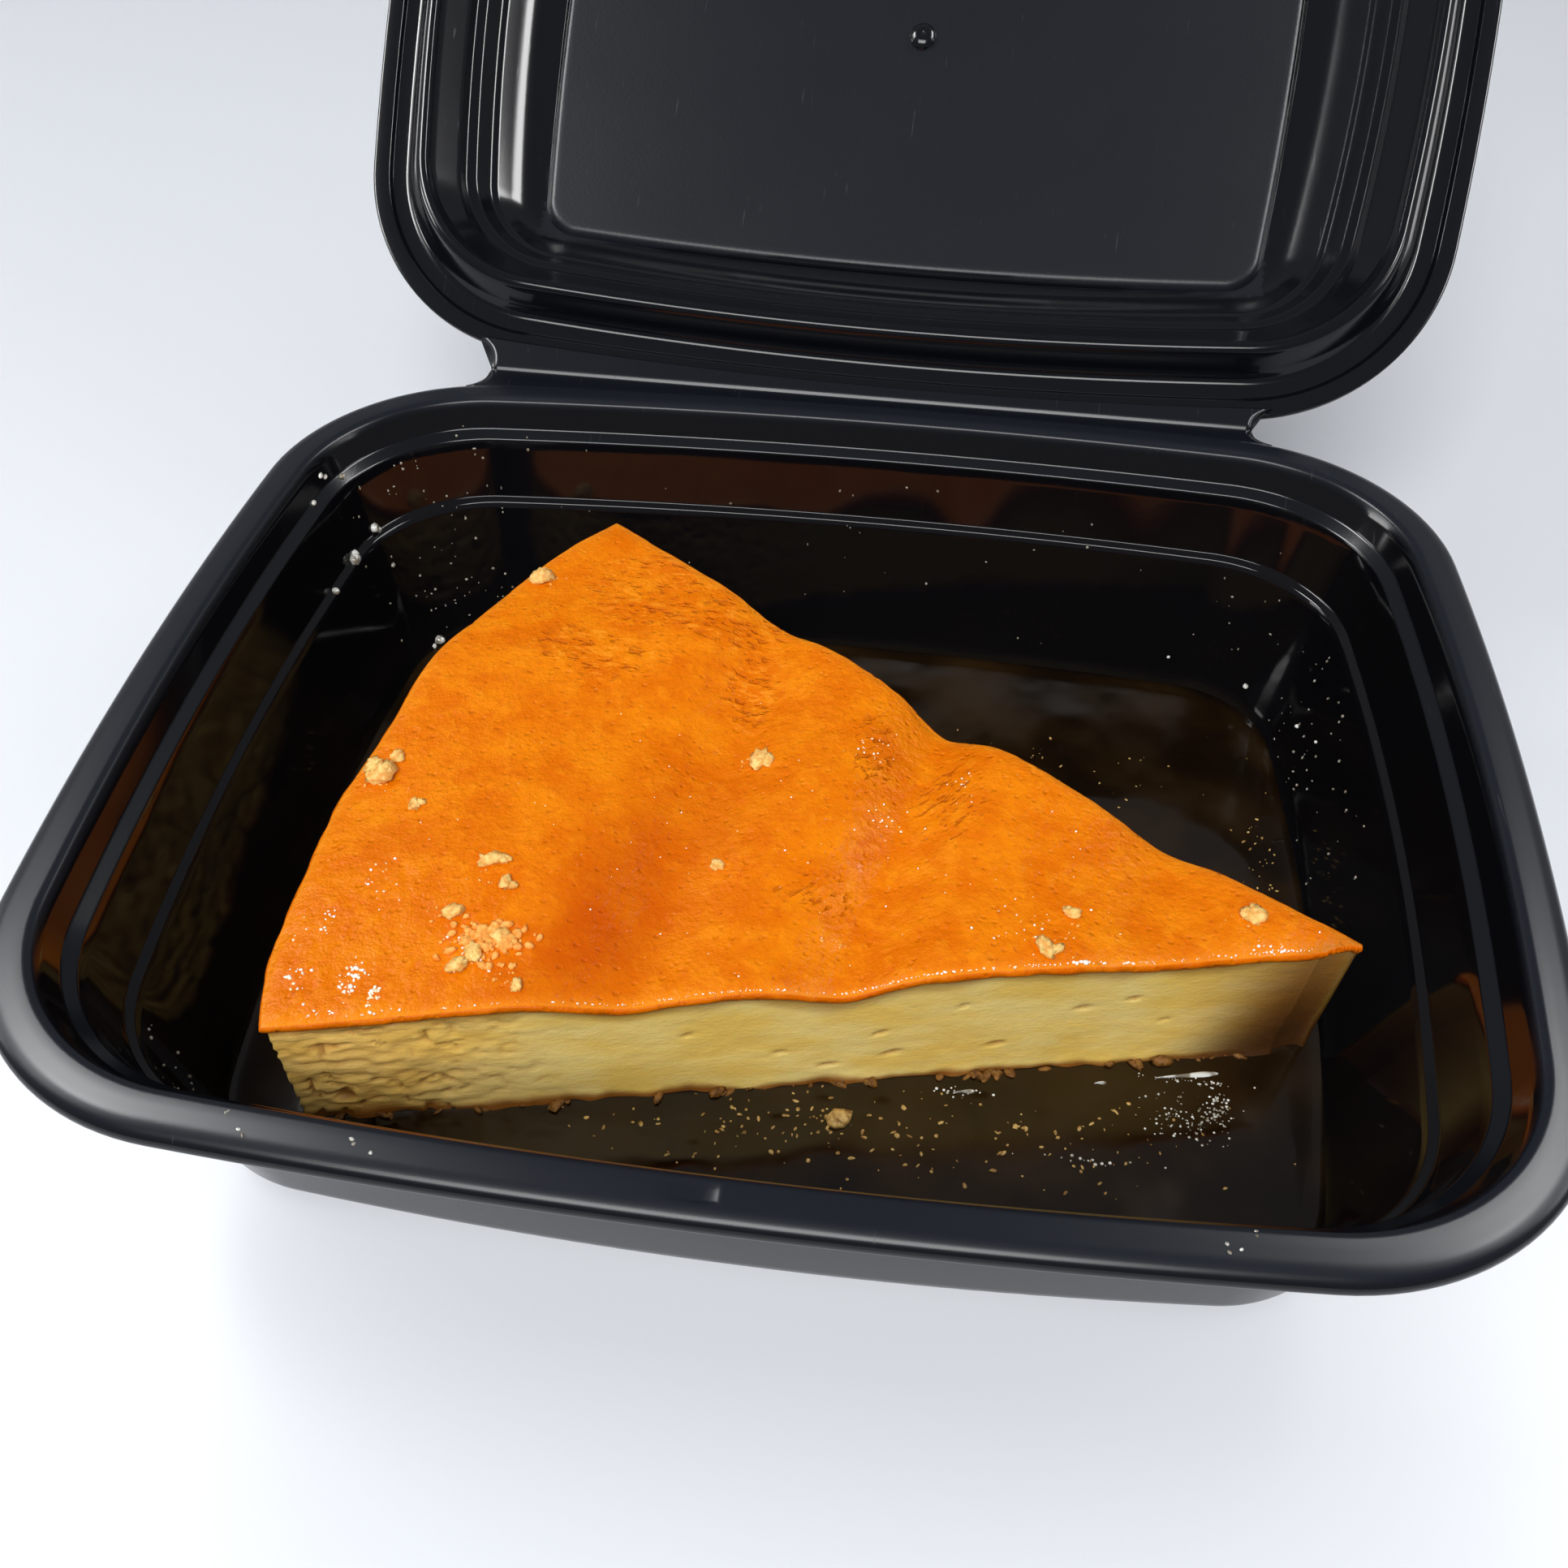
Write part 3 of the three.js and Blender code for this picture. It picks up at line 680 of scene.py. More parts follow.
def ring_normals(ring, spread=3):
    """Directions outwards from a clockwise ring, averaged over a few neighbours."""
    ahead, behind = np.roll(ring, -spread, axis=0), np.roll(ring, spread, axis=0)
    step = ahead - behind
    normal = np.column_stack([-step[:, 1], step[:, 0]])
    return normal / np.linalg.norm(normal, axis=1, keepdims=True)


def edge_of(x, y):
    """A grid's edge: its indices, its ring on the plan, and the directions outwards from it."""
    edge = edge_indices(*x.shape)
    ring = np.column_stack([x.ravel(), y.ravel()])[edge]
    return edge, ring, ring_normals(ring)


def skirted_solid(plan, top, rings, bottom):
    """A closed solid: a grid on top, rings of points down its sides, and a grid or one face below."""
    rows, columns = plan[0].shape
    edge = edge_indices(rows, columns)
    upper = np.stack([*plan, top], axis=-1).reshape(-1, 3)
    points, faces = [upper], [grid_faces(rows, columns)]
    previous, used = edge, len(upper)
    for ring in rings:
        here = np.arange(len(edge)) + used
        points.append(ring)
        faces.append(np.stack([previous, np.roll(previous, -1), np.roll(here, -1), here], axis=-1))
        previous, used = here, used + len(ring)
    if bottom is None:
        faces.append(previous[None])
    else:
        lower = np.stack([*plan, bottom], axis=-1).reshape(-1, 3)
        inside = np.full(rows * columns, -1)
        inner = np.setdiff1d(np.arange(rows * columns), edge)
        inside[inner] = used + np.arange(len(inner))
        inside[edge] = previous
        points.append(lower[inner])
        faces.append(inside[grid_faces(rows, columns)[:, ::-1]])
    return np.vstack(points), faces


# %% [markdown]
# Caramel is the thin skin on top. It is amber where it is thin, nearly red where it pooled in the
# valleys, and wet in patches, so that a wrinkle here and there carries a spark of light. The relief
# is real geometry: slow ripples, short pinched wrinkles, pits where bubbles burst. Two patches of
# much finer folds are colour and bump alone, with painted shade in their creases and a painted
# highlight on their ridges, and marks on the mesh say where they are.

# %% Caramel finish


def caramel_finish():
    """Orange mottled by noise, darker in the pool, with painted shade in the fine folds and a painted
    highlight on their ridges, and a wet coat in patches.
    """
    finish = Finish("wet_caramel", Subsurface_Weight=0.15, Subsurface_Scale=0.002, Coat_Roughness=0.06,
                    Coat_IOR=1.33, Specular_IOR_Level=0.05)
    finish.shader.inputs["Subsurface Radius"].default_value = (1.0, 0.30, 0.05)
    pool = finish.mark("pool")
    edge = finish.mark("edge")
    side = finish.mark("side")
    mottle = finish.grain(9, detail=4, roughness=0.6)
    fleck = finish.grain(1.6, detail=3, roughness=0.6)
    speck = finish.grain(0.8, detail=1).ramp(0.72, 0.80)
    pits = 1 - finish.cells(2.1).ramp(0.05, 0.28)
    blot = finish.grain(3.6, detail=3, roughness=0.65)
    back_fold, front_fold = finish.streaks(1.3, 2.0, -0.12), finish.streaks(1.2, 2.4, 0.75)
    fold = back_fold.ramp(0.56, 0.70) * finish.mark("back_folds")
    fold = fold + front_fold.ramp(0.55, 0.69) * finish.mark("front_folds")
    ridge_highlight = 1 - back_fold.ramp(0.34, 0.46)
    base = finish.mix(mottle.ramp(0.35, 0.70), paint(220, 108, 0), paint(234, 130, 6))
    base = finish.mix(blot.ramp(0.50, 0.66) * 0.35, base, paint(244, 148, 20))
    base = finish.mix(fleck.ramp(0.50, 0.75) * 0.35, base, paint(206, 88, 0))
    # Painted highlight on the ridges of the fine folds, and painted shade in their creases.
    base = finish.mix(ridge_highlight * finish.mark("back_folds") * 0.5, base, paint(248, 156, 40))
    base = finish.mix(fold * 0.55, base, paint(192, 82, 0))
    base = finish.mix(speck * 0.5, base, paint(150, 60, 0))
    base = finish.mix(pool, base, paint(190, 68, 0))
    base = finish.mix(edge * 0.5, base, paint(240, 150, 40))
    base = finish.mix(side, base, paint(170, 96, 22))
    rough = 0.22 + fleck * 0.14 - pool * 0.05
    height = fleck * 0.8 + finish.grain(0.5, detail=2) * 0.25 - pits * 0.6 - fold * 1.3 + blot * 1.6
    normal = finish.bump(height, 0.36, 0.8)
    wet = fleck.ramp(0.58, 0.72) * 0.16 + pool * 0.06
    return finish.done(Base_Color=base, Roughness=rough, Coat_Weight=wet, Normal=normal)


caramel = caramel_finish()

# %% Caramel skin
CARAMEL_GRID = (281, 141)
LIP = 0.55
LIP_TURNS = (30, 60, 90)
SIDE_SHARES = (0.3, 0.6, 0.85, 1.0)
EDGE_SPACING = 0.6
POOL = {"place": (-24.6, -27.0), "reach": (9.0, 26.0), "lean": 0.35}
DARK = {"side_pool": 0.35, "side_foot": 0.75, "tip": 0.55, "tip_reach": 0.035, "edge_reach": 0.9}
BACK_FOLDS = ((-32.0, 50.0, 14.0, 12.0), (-18.0, 42.0, 12.0, 9.0), (-40.0, 30.0, 12.0, 8.0),
              (-12.0, 26.0, 5.0, 12.0))
FRONT_FOLDS = ((22.6, 1.8, 6.0, 12.0), (10.5, 10.0, 4.0, 12.0), (4.0, -20.0, 6.0, 5.0))


def edge_distance(u, v):
    """Millimetres from a point of the plan to the nearest cut or to the round edge."""
    r = SLICE["radius"] * u
    turn = SLICE["front"] - SLICE["back"]
    return np.minimum(np.minimum(r * np.sin(turn * v), r * np.sin(turn * (1 - v))), SLICE["radius"] - r)


def caramel_relief(x, y, u, v):
    """Ripples, wrinkles beside the valleys and burst bubbles, in millimetres."""
    ripple = 0.12 * layered_noise(x / 11, y / 13, 11, 2) + 0.03 * layered_noise(x / 2.2, y / 2.6, 21)
    lean = x * 0.5 - y * 0.85
    side = x * 0.85 + y * 0.5
    pinched = noise(side / 3.6, lean / 1.0, 31)
    zone = smooth_step(0.25, 0.8, noise(x / 18, y / 18, 41) + 0.15)
    wrinkle = -0.12 * smooth_step(0.45, 0.85, pinched) * zone
    pit = -0.16 * smooth_step(0.70, 0.90, noise(x / 1.5, y / 1.5, 51))
    droop = -0.45 * np.exp(-edge_distance(u, v) / 1.1)
    return ripple + wrinkle + pit + droop


def plan_place(x, y):
    """The plan's u and v under a point: its distance and direction from the tip."""
    dx, dy = x - SLICE["tip"][0], y - SLICE["tip"][1]
    v = (SLICE["front"] - np.arctan2(dy, dx) % (2 * math.pi)) / (SLICE["front"] - SLICE["back"])
    return np.hypot(dx, dy) / SLICE["radius"], v


def surface_height(x, y):
    """Height of the finished skin at a place."""
    return top_height(x, y) + caramel_relief(x, y, *plan_place(x, y))


def pool_depth(x, y):
    """1 in the dark pool by the front and along the valley that drains into it."""
    dx, dy = x - POOL["place"][0], y - POOL["place"][1]
    aside = dx - dy * POOL["lean"]
    near = np.exp(-((aside / POOL["reach"][0]) ** 2) - (np.clip(dy, 0, None) / POOL["reach"][1]) ** 2)
    return near * (0.75 + 0.25 * noise(x / 6, y / 9, 61)) * smooth_step(-58, -34, y)


def fold_patch(x, y, patches):
    """1 inside oval patches of the skin and 0 outside, with a ragged border."""
    ragged = 0.35 * noise(x / 4, y / 4, 111)
    reach = [((x - px) / rx) ** 2 + ((y - py) / ry) ** 2 + ragged for px, py, rx, ry in patches]
    return smooth_step(1.2, 0.35, np.minimum.reduce(reach))


def skin_sides(ring, out, high, level):
    """Rings down the skin's side: a quarter-round lip, then a side that draws in to its ragged foot."""
    along = np.arange(len(ring)) * EDGE_SPACING
    low = level - SLICE["caramel"] - 0.35 * layered_noise(along / 6, along * 0 + 3.3, 71)
    ragged = LIP * (1 + 0.35 * noise(along / 2.3, along * 0 + 8.1, 81))
    rings = []
    for turn in np.radians(LIP_TURNS):
        reach = ragged * math.sin(turn)
        rings.append(np.column_stack([ring + out * reach[:, None], high - LIP * (1 - math.cos(turn))]))
    for share in SIDE_SHARES:
        reach = ragged * (1 - 0.8 * share**2)
        z = high - LIP + (low - high + LIP) * share
        rings.append(np.column_stack([ring + out * reach[:, None], z]))
    return rings


def skin_marks(points, u, v, rings):
    """Marks for the top's grid, then the rings of the side, then the underside."""
    x, y = points[:, 0], points[:, 1]
    edge, side = np.zeros(len(points)), np.zeros(len(points))
    edge[:u.size] = np.exp(-edge_distance(u, v).ravel() / DARK["edge_reach"])
    side[:u.size] = DARK["tip"] * smooth_step(DARK["tip_reach"], 0.0, u.ravel())
    down = np.repeat(np.linspace(0, 1, len(rings)), len(rings[0])) ** 2
    side[u.size:u.size + len(down)] = down * DARK["side_foot"]
    pool = np.where(np.arange(len(points)) >= u.size, DARK["side_pool"], pool_depth(x, y))
    return {"pool": pool, "edge": edge, "side": side,
            "back_folds": fold_patch(x, y, BACK_FOLDS), "front_folds": fold_patch(x, y, FRONT_FOLDS)}


def add_caramel():
    """The plan grid at the caramel's height, a rounded lip that overhangs, and the layer's underside."""
    u, v = unit_grid(CARAMEL_GRID)
    x, y = slice_plan(u, v)
    level = top_height(x, y)
    y = keep_in_tray(x, y, level)
    top = level + caramel_relief(x, y, u, v)
    edge, ring, out = edge_of(x, y)
    rings = skin_sides(ring, out, top.ravel()[edge], level.ravel()[edge])
    points, faces = skirted_solid((x, y), top, rings, level - SLICE["caramel"] + 0.2)
    marks = skin_marks(points, u, v, rings)
    add_piece("caramel_skin", points, faces, caramel, "tray", marks, ["caramel_top"])


add_caramel()

# %% [markdown]
# The custard is what the cut lays bare: pale, dense and smooth where the knife went through cleanly,
# torn into flat layers at the wide end, with a few bubbles, and stained brown along its foot and at
# the tip where it drank syrup. Cracks and bubbles are moved inwards in the mesh, and marks on the
# same points let the finish paint shade into them.

# %% Custard finish


def custard_finish():
    """Pale yellow with cloudy brown, warmer where torn, with painted shade in the lines of torn layers, in
    cracks and in bubble hollows, and darkened by the marks of syrup.
    """
    finish = Finish("custard", Subsurface_Weight=0.3, Subsurface_Scale=0.004, Specular_IOR_Level=0.4)
    finish.shader.inputs["Subsurface Radius"].default_value = (1.0, 0.7, 0.25)
    stain = finish.mark("stain")
    crack = finish.mark("crack")
    torn = finish.mark("torn")
    cloud = finish.grain(14, detail=3, stretch=(1, 1, 2.2))
    fine = finish.grain(1.1, detail=3, roughness=0.6, stretch=(1, 1, 2.0))
    layers = finish.grain(3.2, detail=4, roughness=0.65, stretch=(0.7, 0.7, 2.6))
    base = finish.mix(cloud.ramp(0.35, 0.68), paint(246, 206, 104), paint(254, 224, 140))
    base = finish.mix(fine.ramp(0.50, 0.85) * 0.2, base, paint(228, 178, 76))
    base = finish.mix(torn * 0.6, base, paint(255, 192, 96))
    # Painted shade: darker in the lines between torn layers and in the cracks and bubble hollows.
    base = finish.mix(layers.ramp(0.54, 0.70) * torn * 0.45, base, paint(204, 138, 60))
    base = finish.mix(crack * 0.9, base, paint(140, 86, 26))
    base = finish.mix(stain, base, paint(136, 80, 20))
    base = finish.mix(finish.mark("soak"), base, paint(52, 28, 8))
    height = fine + finish.grain(0.4, detail=2) * 0.4 - layers * torn * 2.0
    return finish.done(Base_Color=base, Roughness=0.34 + fine * 0.25, Normal=finish.bump(height, 0.22, 0.5))


custard = custard_finish()

# %% Custard wedge
CUSTARD_GRID = (281, 121)
WALL_LEVELS = 56
WALL_HEIGHT = 25
TORN_FROM, TORN_TO = 0.70, 0.95
VOIDS = ((0.30, 0.30, 1.0), (0.42, 0.55, 0.8), (0.405, 0.30, 1.1), (0.22, 0.62, 0.9), (0.17, 0.70, 0.7),
         (0.52, 0.40, 0.7), (0.47, 0.24, 1.0), (0.13, 0.45, 0.6), (0.61, 0.66, 0.6), (0.34, 0.72, 0.6))
VOID_SHAPE = {"long": 1.1, "high": 0.45, "lean": 0.4}


def crack_depth(along, height, torn):
    """Long flat tears: ridges of noise stretched sideways, opened where the slice is torn."""
    warp = 0.9 * noise(along / 3, height / 3, 91)
    layer = noise(along / 3.2, height / 1.5 + warp, 92)
    tear = np.exp(-((layer / 0.18) ** 2)) * smooth_step(-0.1, 0.4, noise(along / 2.4, height / 1.5, 93))
    return tear * torn


def void_depth(along, height, share, edge_u, edge_v):
    """Burst bubbles in the front cut: bell-shaped hollows, longer than high, with a broken border."""
    broken = 0.5 * noise(along / 1.3, height / 0.9, 94)
    hollow = np.zeros_like(height)
    for place, level, size in VOIDS:
        across = (edge_u - place) * SLICE["radius"] / (VOID_SHAPE["long"] * size)
        upright = (share - level) * WALL_HEIGHT / (VOID_SHAPE["high"] * size) + VOID_SHAPE["lean"] * across
        hollow += np.exp(-(across**2 + upright**2)) * (edge_v < 0.001) * (1 + broken)
    return hollow


def cut_relief(along, height, torn):
    """How far the cut stands out: slow swells, lumps where it is torn, and a foot that spreads."""
    swells = 0.12 * layered_noise(along / 14, height / 8, 95)
    swells += (0.03 + 0.26 * torn) * noise(along / 2.8, height / 1.2, 96)
    swells += 0.14 * torn * noise(along / 1.3, height / 0.9, 90)
    foot = 0.6 * np.exp(-((height - SLICE["base"]) / 1.2)) * (1 + noise(along / 3, height * 0, 97))
    return swells + foot


def syrup_marks(along, height, roof, share, edge_u):
    """Where the custard drank syrup: stained at the tip, along its foot and under the skin, and
    soaked nearly black at the tip's foot."""
    tip = smooth_step(0.13, 0.0, edge_u) * (1.0 - 0.15 * share)
    ragged = 2.3 + 1.1 * layered_noise(along / 7, height * 0, 98)
    foot = smooth_step(ragged, ragged * 0.3, height - SLICE["base"])
    seep = 3.0 + 1.2 * noise(along / 6, height * 0, 99)
    under_skin = 0.75 * smooth_step(seep, 0.3, roof - height)
    soak = 0.9 * smooth_step(0.80, 1.75, np.clip(1 - edge_u / 0.15, 0, 1) + 0.9 * (1 - share))
    return {"stain": np.maximum.reduce([tip, foot, under_skin]), "soak": soak}


def add_custard():
    """The plan's edge carried down in levels, pressed in by tears and bubbles."""
    u, v = unit_grid(CUSTARD_GRID)
    x, y = slice_plan(u, v)
    under = top_height(x, y) - SLICE["caramel"] + 0.3
    edge, ring, out = edge_of(x, y)
    edge_u, edge_v, roof = (grid.ravel()[edge][None, :] for grid in (u, v, under))
    step = np.hypot(*(np.roll(ring, -1, axis=0) - ring).T)
    along = np.concatenate([[0.0], np.cumsum(step)[:-1]])[None, :]
    share = np.linspace(1, 0, WALL_LEVELS)[:, None]
    height = SLICE["base"] + (roof - SLICE["base"]) * share
    torn = smooth_step(TORN_FROM, TORN_TO, edge_u) * 0.97 + 0.03
    crack = crack_depth(along, height, torn)
    hollow = void_depth(along, height, share, edge_u, edge_v)
    inward = 0.20 + 0.9 * crack + hollow - cut_relief(along, height, torn)
    rings = np.stack([ring[:, 0] - out[:, 0] * inward, ring[:, 1] - out[:, 1] * inward, height], axis=-1)
    rings[..., 1] = keep_in_tray(rings[..., 0], rings[..., 1], rings[..., 2])
    points, faces = skirted_solid((x, keep_in_tray(x, y, under)), under, list(rings), None)
    marks = syrup_marks(along, height, roof, share, edge_u)
    # This mark holds the cracks and bubble hollows, where the finish paints shade.
    marks.update(crack=np.clip(crack + 1.6 * hollow, 0, 1), torn=np.broadcast_to(torn, height.shape))
    on_top = np.zeros(u.size)
    marks = {name: np.append(on_top, values.ravel()) for name, values in marks.items()}
    add_piece("custard_wedge", points, faces, custard, "tray", marks, ["custard"])
    return ring


foot_ring = add_custard()

# %% [markdown]
# The syrup is thin caramel water that ran off the slice. It fills the channel of the floor and just
# covers the panel. Seen from the middle of the tray, both the slice and the wall are crossed once in
# every direction, so the pool is a polar ring between them, with its edge drawn up where it wets them.

# %% Syrup finish


def syrup_finish():
    """Clear brown liquid with a little haze."""
    finish = Finish("syrup", IOR=1.40, Transmission_Weight=0.6)
    swirl = finish.grain(18, detail=3)
    base = finish.mix(swirl.ramp(0.3, 0.7), paint(30, 18, 6), paint(62, 42, 16))
    return finish.done(Base_Color=base, Roughness=0.05 + swirl.ramp(0.35, 0.65) * 0.14)


syrup = syrup_finish()

# %% Syrup pool
SYRUP_LEVEL = 2.95
POOL_GRID = (34, 420)
POOL_EDGE = {"under_slice": 1.2, "wall_inset": 17.0, "from_slice": 1.0, "from_wall": 0.4,
             "climb": 0.28, "reach": 0.9}


def reach_of(ring, angle):
    """Distance from the middle of the tray to a ring in each direction."""
    turn = np.arctan2(ring[:, 1], ring[:, 0])
    order = np.argsort(turn)
    return np.interp(angle, turn[order], np.hypot(*ring.T)[order], period=2 * math.pi)


def add_syrup():
    """A ring of liquid: rows from the slice out to the wall and back below, columns round the tray."""
    angle = np.linspace(-math.pi, math.pi, POOL_GRID[1], endpoint=False)
    inner = reach_of(foot_ring, angle) - POOL_EDGE["under_slice"]
    outer = reach_of(outline(BOX, POOL_EDGE["wall_inset"]), angle)
    share = np.linspace(0, 1, POOL_GRID[0])[:, None]
    reach = inner + (outer - inner) * share
    x, y = reach * np.cos(angle), reach * np.sin(angle)
    to_edge = np.minimum(reach - inner - POOL_EDGE["from_slice"], outer - reach - POOL_EDGE["from_wall"])
    climb = POOL_EDGE["climb"] * np.exp(-np.clip(to_edge, 0, None) / POOL_EDGE["reach"])
    top = SYRUP_LEVEL + climb + 0.05 * layered_noise(x / 9, y / 9, 101)
    floor = np.full_like(top, SHEET - 0.2)
    loop = np.concatenate([np.stack([x, y, top], axis=-1), np.stack([x, y, floor], axis=-1)[::-1]])
    rows, columns, _ = loop.shape
    faces = [grid_faces(rows + 1, columns, closed=True) % (rows * columns)]
    add_piece("syrup_pool", loop.reshape(-1, 3), faces, syrup, "tray", None, ["syrup"])


add_syrup()

# %% [markdown]
# Crumbs of baked crust lie on the caramel. Each is four balls grown together, and each ball is made
# of rings whose points are shaken by seeded noise, then squashed and turned, so that no crumb looks
# like the next. All crumbs are one joined mesh.

# %% Crumbs
CRUMBS = np.array([
    [-67.2, -5.2, 3.2, 2.5, 1.7], [-66.0, -1.0, 1.6, 1.2, 1.0], [-60.0, -11.5, 1.6, 1.1, 0.9],
    [-44.6, -22.2, 2.8, 1.2, 1.1], [-41.6, -26.2, 1.8, 1.1, 0.9], [-47.9, -32.7, 2.0, 1.3, 1.1],
    [-43.0, -39.6, 2.4, 1.3, 0.9], [-39.9, -36.0, 1.8, 1.4, 0.8], [-44.8, -42.3, 2.0, 1.3, 1.1],
    [-35.4, -44.4, 1.4, 1.0, 0.9], [-11.1, -16.0, 1.5, 0.9, 0.8], [-8.1, 8.2, 3.1, 2.0, 1.0],
    [38.4, -27.6, 2.6, 1.4, 1.1], [42.3, -19.9, 1.8, 1.2, 0.9], [69.0, -16.4, 1.9, 2.3, 1.2],
    [-54.0, 49.6, 3.0, 2.1, 1.5]])


def ball(rows, columns):
    """Points of a unit ball, pole to pole, and its faces."""
    up = np.linspace(0, math.pi, rows)[1:-1, None]
    turn = np.linspace(0, 2 * math.pi, columns, endpoint=False)
    belt = np.stack([np.sin(up) * np.cos(turn), np.sin(up) * np.sin(turn),
                     np.cos(up) * np.ones_like(turn)], axis=-1).reshape(-1, 3)
    points = np.vstack([belt, [0, 0, 1], [0, 0, -1]])
    first, last = np.arange(columns), np.arange(columns) + (rows - 3) * columns
    caps = np.vstack([fan_faces(first[::-1], len(belt)), fan_faces(last, len(belt) + 1)])
    return points, [grid_faces(rows - 2, columns, closed=True), caps]


def lumps(places, sizes, seed, rows=7, columns=9, shake=0.25):
    """Many balls at once: each is shaken point by point, scaled, turned upright and moved."""
    random = np.random.default_rng(seed)
    unit, faces = ball(rows, columns)
    count = len(places)
    swell = 1 + random.uniform(-shake, shake, (count, len(unit)))
    turn = random.uniform(0, 2 * math.pi, count)[:, None]
    body = unit[None] * swell[..., None] * sizes[:, None, :]
    x = body[..., 0] * np.cos(turn) - body[..., 1] * np.sin(turn)
    y = body[..., 0] * np.sin(turn) + body[..., 1] * np.cos(turn)
    points = np.stack([x, y, body[..., 2]], axis=-1) + places[:, None, :]
    shift = (np.arange(count) * len(unit))[:, None, None]
    return points.reshape(-1, 3), [(group[None] + shift).reshape(-1, group.shape[1]) for group in faces]


def crumb_finish(name, pale, brown):
    """Baked crust: a pale colour with browner grains."""
    finish = Finish(name, Subsurface_Weight=0.15, Subsurface_Scale=0.001, Specular_IOR_Level=0.25)
    grain = finish.grain(0.9, detail=3)
    base = finish.mix(grain.ramp(0.35, 0.7), pale, brown)
    return finish.done(Base_Color=base, Roughness=0.45 + grain * 0.2, Normal=finish.bump(grain, 0.3, 0.8))


crumb = crumb_finish("pie_crumb", paint(252, 206, 122), paint(226, 156, 66))
CRUMB_PARTS = 4


def add_crumbs():
    """Each crumb is a core with smaller bits grown together on it, inside the same oval."""
    random = np.random.default_rng(59)
    centre = np.repeat(CRUMBS[:, :2], CRUMB_PARTS, axis=0)
    size = np.repeat(CRUMBS[:, 2:5], CRUMB_PARTS, axis=0)
    core = np.arange(len(centre)) % CRUMB_PARTS == 0
    apart = random.uniform(-0.6, 0.6, (len(centre), 2)) * size[:, :2] * ~core[:, None]
    size = size * np.where(core, 0.8, random.uniform(0.35, 0.6, len(centre)))[:, None]
    places = centre + apart
    high = surface_height(*places.T) + size[:, 2] * 0.4
    points, faces = lumps(np.column_stack([places, high]), size, 7, 10, 13, 0.28)
    add_piece("crust_crumbs", points, faces, crumb, "tray", None, ["caramel_top"])


add_crumbs()

# %% [markdown]
# Round the larger crumbs lies their dust, soaked orange by the syrup. It is thrown in heaps: bell-
# shaped clouds of places, each with its own reach, number and size.

# %% Fine crumbs and grains
GRAIN_HEAPS = (
    (-41.7, -37.0, 4.6, 3.2, 170, 1.0), (-66.8, -8.0, 3.0, 1.2, 10, 0.4), (-44.0, -25.0, 3.5, 3.5, 12, 0.4),
    (-50.0, -33.0, 2.6, 1.8, 12, 0.4), (-37.0, -44.0, 3.0, 1.4, 12, 0.4), (-8.1, 8.0, 2.6, 1.4, 26, 0.5),
    (-53.0, 49.0, 2.6, 2.0, 16, 0.5), (40.0, -25.0, 4.0, 3.0, 14, 0.35), (68.0, -18.0, 2.6, 2.0, 12, 0.35),
    (8.0, -28.0, 2.2, 1.2, 14, 0.4), (14.0, -38.0, 2.6, 0.8, 12, 0.4))
HEAP_SPREAD = 0.55


def scatter(heaps, seed):
    """Bell-shaped heaps: places round each middle, with sizes between a third and the whole of its own."""
    random = np.random.default_rng(seed)
    places, sizes = [], []
    for x, y, reach_x, reach_y, count, size in heaps:
        spread = (reach_x * HEAP_SPREAD, reach_y * HEAP_SPREAD)
        places.append(random.normal((x, y), spread, (count, 2)))
        sizes.append(random.uniform(0.35, 1.0, count) ** 1.5 * size)
    return np.vstack(places), np.concatenate(sizes), random


def grains_on_top(name, heaps, seed, finish, flatness=(1.0, 0.75, 0.6)):
    """Small lumps that sit on the caramel wherever their heap throws them."""
    places, sizes, random = scatter(heaps, seed)
    u, v = plan_place(*places.T)
    on_top = (u > 0.01) & (u < 0.99) & (v > 0.004) & (v < 0.99)
    places, sizes = places[on_top], sizes[on_top]
    high = surface_height(*places.T) + sizes * 0.2
    shape = sizes[:, None] * np.array(flatness) * random.uniform(0.75, 1.25, (len(sizes), 3))
    points, faces = lumps(np.column_stack([places, high]), shape, seed, 6, 7, 0.2)
    add_piece(name, points, faces, finish, "tray", None, ["caramel_top"])


soaked = crumb_finish("soaked_crumb", paint(250, 176, 84), paint(236, 140, 44))
grains_on_top("crust_grains", GRAIN_HEAPS, 13, soaked)

# %% [markdown]
# Tiny beads of syrup stand on the skin and, close together, along the sharp front edge. Each catches
# the lights, so together they are the sparkle of the real slice. Their colour, near white, is a
# painted highlight. They are only a fraction of a millimetre wide, so each is a ball of a few dozen faces.

# %% Sparkling beads
BEAD_HEAPS = (
    (-59.4, -46.2, 1.5, 3.2, 46, 0.36), (-55.5, -48.9, 1.4, 2.2, 24, 0.36), (-52.4, -51.2, 1.8, 1.0, 10, 0.3),
    (-65.9, -36.7, 1.0, 3.0, 14, 0.3), (-67.3, -46.9, 2.2, 2.6, 16, 0.34), (-60.3, -30.4, 3.0, 3.0, 9, 0.25),
    (-60.6, -52.6, 3.5, 0.9, 16, 0.3), (-70.5, -38.0, 1.8, 6.0, 22, 0.22), (-61.0, -26.2, 2.0, 4.0, 9, 0.25),
    (-44.0, -39.0, 4.0, 4.0, 22, 0.28), (71.7, -22.9, 3.6, 1.5, 26, 0.3), (77.0, -22.6, 1.8, 1.0, 12, 0.3),
    (10.6, 11.9, 4.0, 4.0, 20, 0.24), (14.4, -2.6, 4.0, 6.0, 16, 0.24), (25.4, 6.3, 3.0, 5.0, 12, 0.22),
    (0.0, -10.0, 70.0, 30.0, 130, 0.2), (38.0, -24.0, 14.0, 6.0, 26, 0.24))
EDGE_BEADS = 340
EDGE_BEAD_INSET = 0.42


